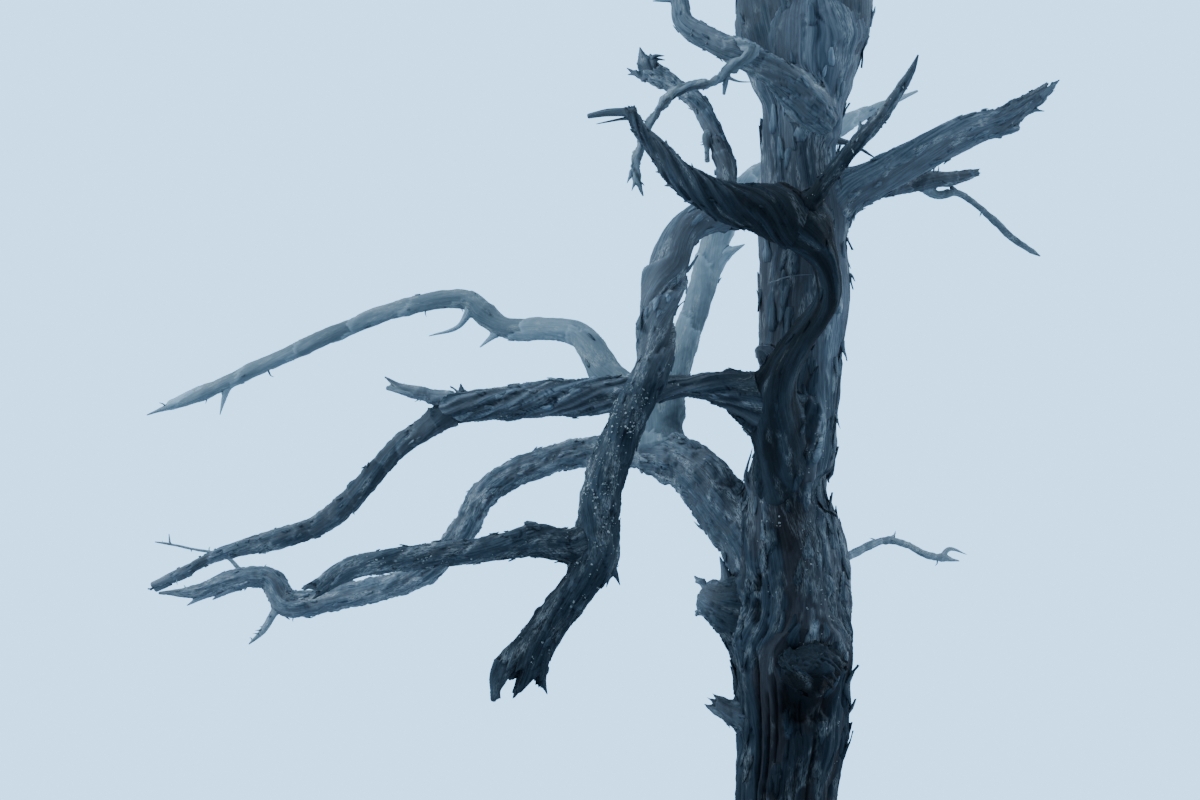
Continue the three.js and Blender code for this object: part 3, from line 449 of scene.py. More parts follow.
limb("right_leader", "trunk", "broken", "bark", "fibrous", (1.0, 1.15), [
    (0.2, 9.56, 0.0, 0.42), (0.31, 10.0, 0.005, 0.48), (0.42, 10.54, 0.03, 0.4), (0.62, 11.15, 0.08, 0.32),
    (0.74, 11.7, 0.15, 0.255), (0.94, 12.25, 0.21, 0.19), (1.06, 12.95, 0.28, 0.095),
], "right_leader right_leader_top")
limb("crown_left_bough", "left_leader", "tip", "bark", "scaly", (1.0, 1.2), [
    (-0.24, 11.1, -0.06, 0.22), (-0.64, 11.42, -0.24, 0.16), (-1.25, 11.56, -0.42, 0.128),
    (-1.8, 11.9, -0.48, 0.098), (-2.35, 11.85, -0.64, 0.064), (-2.75, 12.12, -0.7, 0.014),
], "crown_left_bough crown_left_bough_tip")
limb("crown_front_bough", "left_leader", "tip", "bark", "rough", (1.0, 1.2), [
    (-0.2, 11.75, -0.02, 0.19), (-0.33, 12.02, -0.56, 0.14), (-0.12, 12.11, -1.15, 0.112),
    (-0.38, 12.42, -1.65, 0.08), (-0.26, 12.56, -2.15, 0.048), (-0.42, 12.8, -2.45, 0.014),
])
limb("crown_back_bough", "left_leader", "tip", "weathered_bark", "rough", (1.1, 1.2), [
    (-0.32, 12.25, 0.04, 0.16), (-0.45, 12.5, 0.5, 0.12), (-0.3, 12.6, 1.05, 0.092),
    (-0.6, 12.88, 1.5, 0.066), (-0.52, 13.05, 2.0, 0.014),
])
limb("crown_right_bough", "right_leader", "tip", "bark", "twisted", (1.0, 1.2), [
    (0.64, 11.2, 0.08, 0.21), (1.18, 11.56, 0.02, 0.152), (1.75, 11.6, 0.16, 0.122),
    (2.25, 11.95, 0.1, 0.09), (2.72, 11.93, 0.26, 0.056), (3.08, 12.2, 0.32, 0.014),
], "crown_right_bough crown_right_bough_tip")
limb("crown_right_front_bough", "right_leader", "tip", "weathered_bark", "rough", (1.1, 1.2), [
    (0.72, 11.64, 0.14, 0.17), (0.98, 11.96, -0.42, 0.126), (0.9, 12.08, -1.02, 0.098),
    (1.24, 12.36, -1.5, 0.07), (1.18, 12.5, -1.95, 0.014),
])

# Snags: short splinters, thorns and side twigs, by the node that each is one with
SNAGS = {
    "twisted_bough_tip": [
        [(-1.095, 9.212, -1.305, 0.07), (-1.27, 9.212, -1.33, 0.054), (-1.41, 9.188, -1.345, 0.036)],
        [(-1.09, 9.18, -1.3, 0.04), (-1.19, 9.165, -1.29, 0.022), (-1.355, 9.132, -1.28, 0.006)],
    ],
    "twisted_bough": [
        [(-0.78, 8.71, -1.09, 0.05), (-0.878, 8.7, -1.09, 0.008)],
        [(-0.86, 8.795, -1.12, 0.04), (-0.94, 8.796, -1.12, 0.006)],
        [(-0.64, 8.615, -1.05, 0.06), (-0.742, 8.588, -1.05, 0.008)],
        [(-0.85, 8.93, -1.15, 0.06), (-0.868, 9.02, -1.15, 0.008)],
    ],
    "upright_bough": [[(0.5, 9.06, -1.11, 0.06), (0.49, 9.15, -1.12, 0.01)]],
    "right_bough": [
        [(1.4, 9.095, 0.24, 0.1), (1.545, 9.095, 0.26, 0.07), (1.6, 9.1, 0.27, 0.03)],
        [(1.6, 9.245, 0.3, 0.08), (1.72, 9.228, 0.31, 0.02), (1.78, 9.222, 0.31, 0.006)],
        [(1.74, 9.32, 0.325, 0.08), (1.885, 9.44, 0.36, 0.01)],
    ],
    "crossing_bough_tip": [
        [(-0.765, 10.03, -0.335, 0.07), (-0.85, 10.005, -0.342, 0.042), (-0.959, 9.993, -0.34, 0.008)],
    ],
    "crossing_bough_twig": [
        [(-0.44, 9.5, -0.605, 0.042), (-0.455, 9.4, -0.6, 0.036), (-0.462, 9.342, -0.6, 0.024)],
        [(-0.44, 9.46, -0.605, 0.03), (-0.36, 9.43, -0.6, 0.016), (-0.259, 9.426, -0.6, 0.005)],
        [(-1.08, 8.85, -0.66, 0.05), (-1.115, 8.78, -0.66, 0.03), (-1.14, 8.72, -0.66, 0.006)],
        [(-1.08, 8.79, -0.66, 0.04), (-1.09, 8.72, -0.67, 0.026), (-1.108, 8.665, -0.67, 0.006)],
    ],
    "short_bough": [
        [(-0.97, 9.46, -0.15, 0.13), (-1.025, 9.58, -0.15, 0.08), (-1.05, 9.668, -0.15, 0.01)],
        [(-0.95, 9.47, -0.16, 0.1), (-0.97, 9.56, -0.16, 0.075), (-0.978, 9.622, -0.16, 0.01)],
        [(-0.98, 9.55, -0.165, 0.05), (-0.95, 9.604, -0.18, 0.036), (-0.88, 9.61, -0.18, 0.006)],
        [(-0.96, 9.575, -0.165, 0.04), (-0.93, 9.585, -0.17, 0.024), (-0.875, 9.58, -0.17, 0.006)],
        [(-1.0, 9.455, -0.145, 0.07), (-1.09, 9.49, -0.14, 0.03), (-1.142, 9.524, -0.14, 0.006)],
        [(-1.0, 9.45, -0.145, 0.06), (-1.085, 9.482, -0.14, 0.026), (-1.135, 9.478, -0.14, 0.006)],
    ],
    "bent_bough_lower_arm": [
        [(-1.29, 6.12, -0.985, 0.08), (-1.225, 5.99, -0.988, 0.05), (-1.19, 5.905, -0.99, 0.008)],
        [(-1.985, 5.35, -1.15, 0.15), (-2.04, 5.23, -1.158, 0.12), (-2.078, 5.098, -1.165, 0.036)],
        [(-1.768, 5.34, -1.14, 0.105), (-1.7, 5.142, -1.155, 0.01)],
    ],
    "bent_bough_left_arm": [[(-3.29, 5.9, -1.255, 0.07), (-3.42, 5.88, -1.265, 0.008)]],
    "left_bough": [[(-2.29, 7.19, -0.285, 0.095), (-2.305, 7.312, -0.28, 0.01)]],
    "left_bough_lower_arm": [
        [(-4.24, 5.99, 0.045, 0.076), (-4.36, 5.945, 0.07, 0.066), (-4.462, 5.908, 0.095, 0.044)],
        [(-4.34, 5.93, 0.07, 0.056), (-4.44, 5.872, 0.09, 0.034)],
    ],
    "left_bough_tip": [
        [(-2.58, 7.25, -0.31, 0.075), (-2.71, 7.268, -0.32, 0.064), (-2.82, 7.284, -0.33, 0.03)],
    ],
    "low_bough_tip": [
        [(-4.0, 5.89, 1.34, 0.08), (-4.22, 5.762, 1.38, 0.008)],
        [(-3.88, 5.9, 1.31, 0.08), (-4.04, 5.803, 1.35, 0.008)],
    ],
    "low_bough_fine_twig": [[(-4.34, 6.19, 1.41, 0.016), (-4.347, 6.262, 1.415, 0.006)]],
    "far_bough_lower": [[(-0.6, 8.06, 1.19, 0.13), (-0.45, 8.215, 1.28, 0.08), (-0.318, 8.29, 1.35, 0.008)]],
    "pale_bough": [[(-2.23, 7.85, 1.53, 0.07), (-2.32, 7.715, 1.54, 0.036), (-2.527, 7.648, 1.56, 0.008)]],
    "pale_bough_root": [[(-2.03, 7.69, 1.4, 0.06), (-2.17, 7.57, 1.44, 0.008)]],
    "pale_bough_tip": [
        [(-3.93, 7.31, 2.31, 0.06), (-3.965, 7.2, 2.33, 0.036), (-3.99, 7.098, 2.33, 0.008)],
        [(-4.08, 7.262, 2.36, 0.088), (-4.22, 7.212, 2.39, 0.078), (-4.345, 7.168, 2.42, 0.05)],
    ],
    "right_twig": [
        [(1.06, 6.1, 1.13, 0.044), (1.113, 6.157, 1.22, 0.036), (1.235, 6.12, 1.38, 0.006)],
        [(0.68, 6.215, 0.58, 0.036), (0.74, 6.265, 0.64, 0.006)],
    ],
    "left_stub": [
        [(-0.56, 5.86, 0.06, 0.11), (-0.67, 5.968, 0.06, 0.008)],
        [(-0.59, 5.78, 0.06, 0.1), (-0.66, 5.69, 0.06, 0.008)],
        [(-0.445, 5.85, 0.03, 0.11), (-0.455, 5.99, 0.025, 0.058), (-0.492, 6.103, 0.02, 0.008)],
    ],
    "front_stub": [
        [(0.19, 5.38, -0.6, 0.034), (0.28, 5.3, -0.6, 0.03), (0.35, 5.21, -0.57, 0.006)],
        [(0.1, 5.36, -0.62, 0.044), (0.2, 5.3, -0.63, 0.03), (0.28, 5.23, -0.61, 0.006)],
        [(0.04, 5.33, -0.62, 0.04), (0.12, 5.28, -0.63, 0.026), (0.17, 5.24, -0.62, 0.006)],
        [(-0.04, 5.37, -0.58, 0.036), (0.0, 5.32, -0.6, 0.03), (0.05, 5.28, -0.6, 0.006)],
        [(0.22, 5.4, -0.58, 0.034), (0.3, 5.35, -0.58, 0.03), (0.37, 5.28, -0.52, 0.006)],
    ],
    "trunk": [
        [(-0.14, 8.02, -0.2, 0.012), (0.0, 8.065, -0.29, 0.01), (0.15, 8.08, -0.3, 0.005)],
        [(-0.16, 7.5, -0.2, 0.16), (-0.19, 7.53, -0.28, 0.12), (-0.215, 7.56, -0.33, 0.06)],
        [(-0.17, 7.47, -0.2, 0.06), (-0.2, 7.41, -0.25, 0.04), (-0.235, 7.4, -0.28, 0.008)],
        [(-0.23, 6.48, -0.06, 0.07), (-0.31, 6.64, -0.08, 0.03), (-0.264, 6.86, -0.09, 0.006)],
        [(0.26, 9.03, 0.06, 0.07), (0.43, 8.99, 0.15, 0.042), (0.61, 8.885, 0.22, 0.008)],
    ],
    "back_bough_tip": [[(0.095, 7.61, 2.4, 0.08), (0.03, 7.47, 2.75, 0.05), (0.06, 7.5, 3.1, 0.008)]],
    "high_back_bough_tip": [[(-0.1, 11.0, 2.18, 0.07), (0.26, 11.2, 2.45, 0.04), (0.42, 11.46, 2.75, 0.008)]],
    "crown_left_bough_tip": [
        [(-1.95, 11.88, -0.52, 0.064), (-2.18, 12.18, -0.42, 0.038), (-2.25, 12.42, -0.3, 0.008)],
    ],
    "crown_right_bough_tip": [
        [(2.15, 11.88, 0.11, 0.064), (2.33, 12.22, -0.06, 0.04), (2.6, 12.42, -0.2, 0.008)],
    ],
    "crown_front_bough": [
        [(-0.3, 12.32, -1.5, 0.06), (0.06, 12.52, -1.7, 0.036), (0.18, 12.78, -1.85, 0.008)],
    ],
    "left_leader_top": [
        [(-0.31, 12.85, 0.08, 0.09), (-0.08, 13.13, 0.04, 0.056), (-0.03, 13.43, 0.12, 0.008)],
    ],
    "right_leader_top": [[(0.93, 12.22, 0.21, 0.1), (1.25, 12.48, 0.38, 0.06), (1.38, 12.78, 0.54, 0.008)]],
}


def bark(
    lumps, slabs, fissures, fibres, twist, bare, lichen, scales=(1.0, 0.0, 0.0, 0.0), ropes=(0, 0.0)
):
    return SimpleNamespace(
        lumps=lumps, slabs=slabs, fissures=fissures, fibres=fibres, twist=twist, bare=bare,
        lichen=lichen, scales=scales, ropes=ropes,
    )


# Barks: lumps, slabs, fissures and fibres, by their sizes across the grain, along it and in height, then
# the twist in radians a metre, the share that has lost its outer bark, and the share that is crusted.
# Scales have a length, a height, a slant and an unevenness, and lap over the next towards the root
# where their height is negative. Ropes have a number of strands and their depth.
BARKS = {
    "trunk": bark(
        (0.2, 0.012), (0.1, 1.1, 0.014), (0.065, 2.4, 0.024), (0.017, 0.8, 0.007), 0.12, 0.42, 0.3,
    ),
    "sinewy": bark(
        (0.16, 0.012), (0.09, 0.8, 0.007), (0.04, 0.9, 0.014), (0.014, 0.5, 0.004), 1.1, 0.5, 0.05,
        ropes=(5, 0.005),
    ),
    "fibrous": bark(
        (0.15, 0.01), (0.08, 0.7, 0.008), (0.032, 0.8, 0.01), (0.014, 0.35, 0.006), 0.5, 0.4, 0.2,
    ),
    "rope": bark(
        (0.15, 0.014), (0.08, 0.4, 0.008), (0.03, 0.5, 0.008), (0.013, 0.3, 0.008), -4.2, 0.5, 0.05,
        ropes=(8, 0.024),
    ),
    "twisted": bark(
        (0.13, 0.014), (0.07, 0.4, 0.01), (0.03, 0.5, 0.01), (0.013, 0.26, 0.006), 3.0, 0.45, 0.3,
        scales=(0.42, 0.012, 1.0, 0.5), ropes=(9, 0.012),
    ),
    "rough": bark(
        (0.075, 0.015), (0.05, 0.2, 0.009), (0.03, 0.3, 0.009), (0.012, 0.16, 0.005), 1.4, 0.4, 0.3,
        scales=(0.16, 0.009, 0.4, 1.0),
    ),
    "scaly": bark(
        (0.085, 0.022), (0.06, 0.1, 0.014), (0.05, 0.09, 0.01), (0.015, 0.04, 0.009), 0.6, 0.4, 0.5,
    ),
    "sleeve": bark(
        (0.2, 0.008), (0.14, 1.2, 0.006), (0.07, 1.2, 0.006), (0.014, 0.5, 0.004), 0.8, 0.5, 0.1,
    ),
    "sheets": bark(
        (0.16, 0.01), (0.12, 0.6, 0.005), (0.05, 0.6, 0.005), (0.014, 0.3, 0.006), -3.8, 0.5, 0.1,
        scales=(0.36, -0.04, -0.9, 0.3),
    ),
    "gnarled": bark(
        (0.06, 0.06), (0.03, 0.12, 0.03), (0.022, 0.14, 0.03), (0.01, 0.1, 0.012), 7.0, 0.5, 0.25,
        ropes=(3, 0.04),
    ),
    "speckled": bark(
        (0.1, 0.012), (0.06, 0.2, 0.008), (0.034, 0.24, 0.007), (0.013, 0.16, 0.005), 1.2, 0.35, 0.45,
        scales=(0.34, 0.01, 0.6, 0.6),
    ),
    "flecked": bark(
        (0.09, 0.012), (0.05, 0.14, 0.008), (0.034, 0.28, 0.007), (0.012, 0.16, 0.004), 1.8, 0.35, 0.6,
        scales=(0.22, 0.01, 0.8, 0.7),
    ),
    "smooth": bark(
        (0.14, 0.018), (0.08, 0.45, 0.006), (0.03, 0.6, 0.006), (0.013, 0.3, 0.004), 1.2, 0.6, 0.25,
        scales=(0.5, 0.01, 0.6, 0.5),
    ),
    "torn": bark(
        (0.08, 0.024), (0.045, 0.25, 0.016), (0.03, 0.3, 0.02), (0.013, 0.24, 0.01), 0.4, 0.5, 0.1,
    ),
    "swept": bark(
        (0.12, 0.05), (0.05, 0.3, 0.022), (0.04, 0.4, 0.03), (0.016, 0.3, 0.014), 0.0, 0.5, 0.1,
    ),
    "dry": bark(
        (0.07, 0.02), (0.04, 0.14, 0.006), (0.02, 0.2, 0.005), (0.01, 0.12, 0.003), 1.5, 0.5, 0.3,
        scales=(0.1, 0.008, 0.3, 0.8),
    ),
}


# Numbers

WORD = 0xFFFFFFFF  # the whole numbers behind the noise wrap round at 32 bits
CHANCE_START, CHANCE_COUNT, CHANCE_LETTER, CHANCE_MIX = 2166136261, 40503, 16777619, 2246822519
LATTICE_STEPS = (374761393, 668265263, 2246822519)
LATTICE_SEED, LATTICE_START = 3266489917, 1013904223
LATTICE_MIXES = ((13, 1274126177), (15, 2654435761))
OBLIQUE = np.array([[0.8, 0.36, 0.48], [-0.6, 0.48, 0.64], [0, -0.8, 0.6]])  # a plain turn of space
LAYER_STEP = 2.03  # how much finer each layer of noise is than the one before


def unit(vectors):
    return vectors / np.maximum(np.linalg.norm(vectors, axis=-1, keepdims=True), 1e-9)


def smoothstep(low, high, value):
    share = np.clip((value - low) / (high - low), 0, 1)
    return share * share * (3 - 2 * share)


def rising(low, share):
    """From low up to 1, as a share goes from 0 to 1."""
    return low + (1 - low) * share


def angles(count):
    """Angles evenly spaced round a limb."""
    return 2 * math.pi * np.arange(count) / count


def turn_from(degrees, angle):
    """How far angles round the trunk lie from a place that is given in degrees."""
    return (angle - math.radians(degrees) + math.pi) % (2 * math.pi) - math.pi


def chance(name, count):
    """A repeatable number from 0 to 1 for a limb's name and a count."""
    state = CHANCE_START ^ ((count + 1) * CHANCE_COUNT & WORD)
    for letter in name:
        state = (state ^ ord(letter)) * CHANCE_LETTER & WORD
    state ^= state >> 15
    state = state * CHANCE_MIX & WORD
    state ^= state >> 13
    return state / (WORD + 1)


def lattice(corners, seed):
    """A repeatable number from 0 to 1 for each corner of a lattice."""
    state = np.uint32((seed * LATTICE_SEED + LATTICE_START) & WORD)
    for corner, step in zip(corners, LATTICE_STEPS):
        state = state + corner * np.uint32(step)
    for shift, factor in LATTICE_MIXES:
        state = (state ^ (state >> np.uint32(shift))) * np.uint32(factor)
    return ((state ^ (state >> np.uint32(16))) & np.uint32(0xFFFF)).astype(np.float32) / 0xFFFF


def noise(points, seed=0):
    """Smooth noise from 0 to 1 at each point, with features one unit across."""
    cell = np.floor(points)
    part = (points - cell).astype(np.float32)
    near = part * part * part * (part * (part * 6 - 15) + 10)
    corner = cell.astype(np.int64).astype(np.uint32)
    total = np.zeros(points.shape[:-1], np.float32)
    for i in range(8):
        step = [i & 1, i >> 1 & 1, i >> 2 & 1]
        weight = 1
        for axis in range(3):
            weight = weight * (near[..., axis] if step[axis] else 1 - near[..., axis])
        total += weight * lattice([corner[..., axis] + np.uint32(step[axis]) for axis in range(3)], seed)
    return total


def layered(points, seed, layers=3):
    """Noise with finer noise laid over it, each layer turned so that no lattice shows."""
    total = whole = 0
    for layer in range(layers):
        points = points @ OBLIQUE
        total = total + 0.5**layer * noise(points * LAYER_STEP**layer, seed + 17 * layer)
        whole += 0.5**layer
    return total / whole


def cylinder(angle, height, radius, stretch):
    """Points on a cylinder, for noise that closes round a limb or the trunk."""
    sides = radius * np.cos(angle), radius * np.sin(angle)
    return np.stack(np.broadcast_arrays(*sides, stretch * height), axis=-1)


# Middle lines of the limbs

def placed(knots):
    """Real positions and radii of places that are given as across, up, depth and width."""
    across, up, depth, width = np.array(knots, float).T
    reach = 1 + depth / EYE_DISTANCE
    x = EYE_ACROSS + (across - EYE_ACROSS) * reach
    z = EYE_UP + (up - EYE_UP) * reach
    return np.stack([x, depth, z], axis=1), width / 2 * reach


def sighted(spots):
    """Where real positions are seen, across and up, and how much larger the view is at their depth."""
    reach = 1 + spots[..., 1] / EYE_DISTANCE
    across = EYE_ACROSS + (spots[..., 0] - EYE_ACROSS) / reach
    return across, EYE_UP + (spots[..., 2] - EYE_UP) / reach, reach


def bend(four, t):
    """Places and directions at shares t of the way from the second of four knots to the third."""
    before, start, end, after = four
    lead, gap, follow = np.sqrt(np.linalg.norm(np.diff(four, axis=0), axis=1))
    leave = gap * ((start - before) / lead - (end - before) / (lead + gap) + (end - start) / gap)
    arrive = gap * ((end - start) / gap - (after - start) / (gap + follow) + (after - end) / follow)
    square = 3 * (end - start) - 2 * leave - arrive
    cube = 2 * (start - end) + leave + arrive
    place = start + leave * t + square * t**2 + cube * t**3
    return place, leave + 2 * square * t + 3 * cube * t**2


def spine(name, knots, spacing):
    """The middle line of a limb: places, directions, radii and ring numbers, spacing apart."""
    spots, radii = placed(knots)
    ends = np.vstack([2 * spots[0] - spots[1], spots, 2 * spots[-1] - spots[-2]])
    gaps = np.linalg.norm(np.diff(spots, axis=0), axis=1)
    ring_step = min(RING_STEP * 2 * radii.mean(), LONGEST_RING_STEP)
    places, ways, radius, ring = [], [], [], []
    rings_before = 0
    for i, gap in enumerate(gaps):
        count = max(math.ceil(gap / spacing), 2)
        t = np.arange(count + (i == len(gaps) - 1)) / count
        place, way = bend(ends[i:i + 4], t[:, None])
        rings = max(math.floor(gap / ring_step + 0.5), 1)
        places.append(place)
        ways.append(way)
        radius.append(radii[i] + (radii[i + 1] - radii[i]) * t)
        ring.append(rings_before + rings * t)
        rings_before += rings
    middle = np.vstack(places)
    tangent = unit(np.vstack(ways))
    side = np.empty_like(tangent)
    last = np.array([0.0, 1.0, 0.0])
    for i, along in enumerate(tangent):
        last = unit(last - along * (last @ along))
        side[i] = last
    ring = np.concatenate(ring)
    jitter = [RING_JITTER * (chance(name, number + JITTER_START) - 0.5) for number in range(rings_before + 1)]
    return SimpleNamespace(
        name=name, middle=middle, tangent=tangent, side=side, other=np.cross(tangent, side),
        radius=np.concatenate(radius), turn=2 * math.pi * chance(name, 0) + RING_TURN * ring,
        run=np.concatenate([[0], np.cumsum(np.linalg.norm(np.diff(middle, axis=0), axis=1))]),
        jitter=np.interp(ring, np.arange(rings_before + 1), jitter),
    )


def swell(turn, jitter, angle):
    """How far a limb stands out of a plain round section."""
    lobes = SWELL_TWO * np.sin(2 * angle + turn) + SWELL_THREE * np.sin(3 * angle - SWELL_TURN * turn)
    return 1 + lobes + jitter


# Distances from the plain forms, which the fillets are worked out with

def root_of(line):
    """The first stretch of a limb, as far as it may touch what carries it."""
    first_radius = line.radius[line.run < SHORTEST_ROOT].max()
    length = min(max(ROOT_STRETCH * first_radius, SHORTEST_ROOT), LONGEST_ROOT)
    return line.run <= length, first_radius


def limb_distance(line, rows, points):
    """How far points lie outside the chosen rows of a limb, and the ways out."""
    middle, tangent = line.middle[rows], line.tangent[rows]
    half_gap = HALF_ROW * np.linalg.norm(middle[1] - middle[0])
    distance = np.empty(len(points))
    outward = np.empty((len(points), 3))
    for start in range(0, len(points), BATCH):
        some = points[start:start + BATCH]
        nearest = ((some[:, None] - middle[None]) ** 2).sum(axis=2).argmin(axis=1)
        away = some - middle[nearest]
        along = np.clip((away * tangent[nearest]).sum(axis=1), -half_gap, half_gap)
        away = away - along[:, None] * tangent[nearest]
        reach = np.linalg.norm(away, axis=1)
        across, aside = ((away * way[rows][nearest]).sum(axis=1) for way in (line.other, line.side))
        swollen = swell(line.turn[rows][nearest], line.jitter[rows][nearest], np.arctan2(across, aside))
        distance[start:start + BATCH] = reach - line.radius[rows][nearest] * swollen
        outward[start:start + BATCH] = away / np.maximum(reach, 1e-6)[:, None]
    return distance, outward


def trunk_section(height):
    """The trunk's middle, half sizes and ridge relief at heights."""
    heights, across, widths = (np.array(column) for column in zip(*TRUNK_PROFILE))
    after = np.clip(np.searchsorted(heights, height), 1, len(heights) - 1)
    share = smoothstep(heights[after - 1], heights[after], height)
    middle, width = (
        values[after - 1] + (values[after] - values[after - 1]) * share for values in (across, widths)
    )
    above = np.clip((height - TRUNK_DOME) / (TRUNK_TOP - TRUNK_DOME), 0, 0.9999)
    dome = np.sqrt(1 - above**2)
    half_width = width / 2 * (1 + ROOT_SPREAD * np.exp(-height / ROOT_HEIGHT)) * dome
    deepest = np.where(height > FORK_START, FORK_DEPTH / 2 * dome, np.inf)
    half_depth = np.minimum(half_width * TRUNK_DEPTH_SHARE, deepest)
    return middle, half_width, half_depth, RIDGE_RELIEF * np.exp(-height / RIDGE_HEIGHT)


def trunk_outline(angle, height, half_width, half_depth, ridge):
    """The trunk's outline round its middle, at angles and heights."""
    reach = 1 + ridge * np.cos(ROOT_RIDGES * angle + RIDGE_WANDER * np.sin(2 * angle))
    for count, share, turn, rise in TRUNK_LOBES:
        reach = reach + share * np.sin(count * angle + turn + rise * height)
    return half_width * reach * np.cos(angle), half_depth * reach * np.sin(angle)


def trunk_distance(points):
    """How far points lie outside the trunk, and the ways out."""
    x, y, height = points.T
    middle, half_width, half_depth, ridge = trunk_section(height)
    angle = np.arctan2(y / half_depth, (x - middle) / half_width)
    surface_x, surface_y = trunk_outline(angle, height, half_width, half_depth, ridge)
    distance = np.hypot(x - middle, y) - np.hypot(surface_x, surface_y)
    above = height - TRUNK_TOP + TRUNK_TOP_SUNK
    distance = np.where(above > 0, above + np.maximum(distance, 0), distance)
    return distance, unit(np.stack([surface_x / half_width**2, surface_y / half_depth**2, 0 * x], axis=1))


# Fillets

def drawn_together(points, own, other, fillet):
    """Moves points of one form to the fillet that joins it to another, and in past their seam.

    Gives the moves, and how far each point still shows: 0 inside the other form, 1 outside.
    """
    showing = smoothstep(-SEAM_SHARE * fillet, 0, other(points)[0])
    moved = points.copy()
    for _ in range(FILLET_STEPS):
        near, near_way = own(moved)
        far, far_way = other(moved)
        overlap = np.clip(1 - np.abs(near - far) / fillet, 0, 1)
        depth = np.minimum(near, far) - overlap**2 * fillet / 4
        share = np.where(near < far, overlap / 2, 1 - overlap / 2)[:, None]
        moved -= depth[:, None] * unit(near_way * (1 - share) + far_way * share)
    sunk = min(SEAM_SUNK, SEAM_SUNK_SHARE * fillet) * (1 - showing)[:, None] * own(points)[1]
    return (moved - points) * showing[:, None] - sunk, showing


def blended(points, joints):
    """Draws a form's grid of points to its fillets with the forms that it meets."""
    flat = points.reshape(-1, 3)
    moves = np.zeros_like(flat)
    showing = np.ones(len(flat))
    for own, other, fillet, lowest, highest in joints:
        chosen = np.flatnonzero(np.all((flat > lowest) & (flat < highest), axis=1))
        if len(chosen):
            chosen = chosen[other(flat[chosen])[0] < fillet]
        if not len(chosen):
            continue
        move, shows = drawn_together(flat[chosen], own, other, fillet)
        larger = np.linalg.norm(move, axis=1) > np.linalg.norm(moves[chosen], axis=1)
        moves[chosen[larger]] = move[larger]
        showing[chosen] = np.minimum(showing[chosen], shows)
    return (flat + moves).reshape(points.shape), showing.reshape(points.shape[:2])


# Skins: a grid of points for each form, with its grain, its wear and its painted shade

def grid_normals(points, middle):
    """Outward directions of a grid of points that closes round its columns."""
    around = np.roll(points, -1, axis=1) - np.roll(points, 1, axis=1)
    normals = unit(np.cross(around, np.gradient(points, axis=0)))
    outwards = ((points - middle[:, None]) * normals).sum(axis=(1, 2)) > 0
    return np.where(outwards[:, None, None], normals, -normals)


def swept_grain(points):
    """Where points lie in the grain of swept bark."""
    along = unit(np.array(SWEEP))
    beside = unit(np.cross(along, (0, 1, 0)))
    return points @ np.stack([beside, np.cross(along, beside), along], axis=1)


def lapped(scales, angle, grain, warp, thickness, seed):
    """The height of scales that lap over one another, how near a place is to an edge, and its tone.

    The edge is painted dark as the shadow under a lip, and the tone holds a painted highlight on the lip.
    """
    step, height, slant, uneven = scales
    wound = (round(slant * 2 * math.pi * thickness / step) or 1) * angle / (2 * math.pi)
    wander = layered(grain / COARSE_WANDER, seed + 8, 2) + 0.5 * noise(warp / FINE_WANDER, seed + 13)
    phase = grain[..., 2] / step + wound + uneven * wander
    rise = phase - np.floor(phase)
    if height < 0:
        rise = 1 - rise
    middle = grain.copy()
    middle[..., 2] = (np.floor(phase) + 0.5 - wound) * step
    sheet = noise(middle / (SHEET_SIZE, SHEET_SIZE, SHEET_SHARE * step), seed + 14)
    tone = 1 + SHEET_TONE * (sheet - 0.5) + LIP_HIGHLIGHT * smoothstep(LIP_START, 1, rise)
    return abs(height) * (rise - 0.5), smoothstep(SCALE_EDGE, 0, rise), tone


def roped(ropes, turned, grain, seed):
    """The height of strands wound along a limb, how deep a place lies between two, and its tone.

    The place between two strands is painted dark as shade, and the tone holds a painted highlight on
    each crest.
    """
    count, depth = ropes
    wander = STRAND_WANDER * (layered(grain / STRAND_WANDER_SIZES, seed + 9, 2) - 0.5)
    strand = np.abs(np.sin(count / 2 * turned + wander))
    full = smoothstep(STRAND_FROM, STRAND_TO, noise(grain / STRAND_SIZES, seed + 15))
    full = rising(THIN_STRAND, full)
    edge = STRAND_EDGE * full * (1 - smoothstep(0, STRAND_EDGE_WIDTH, strand))
    tone = 1 + STRAND_HIGHLIGHT * full * (smoothstep(STRAND_CREST, 1, strand) - STRAND_MEAN)
    return depth * full * (np.sqrt(strand) - STRAND_LEVEL), edge, tone


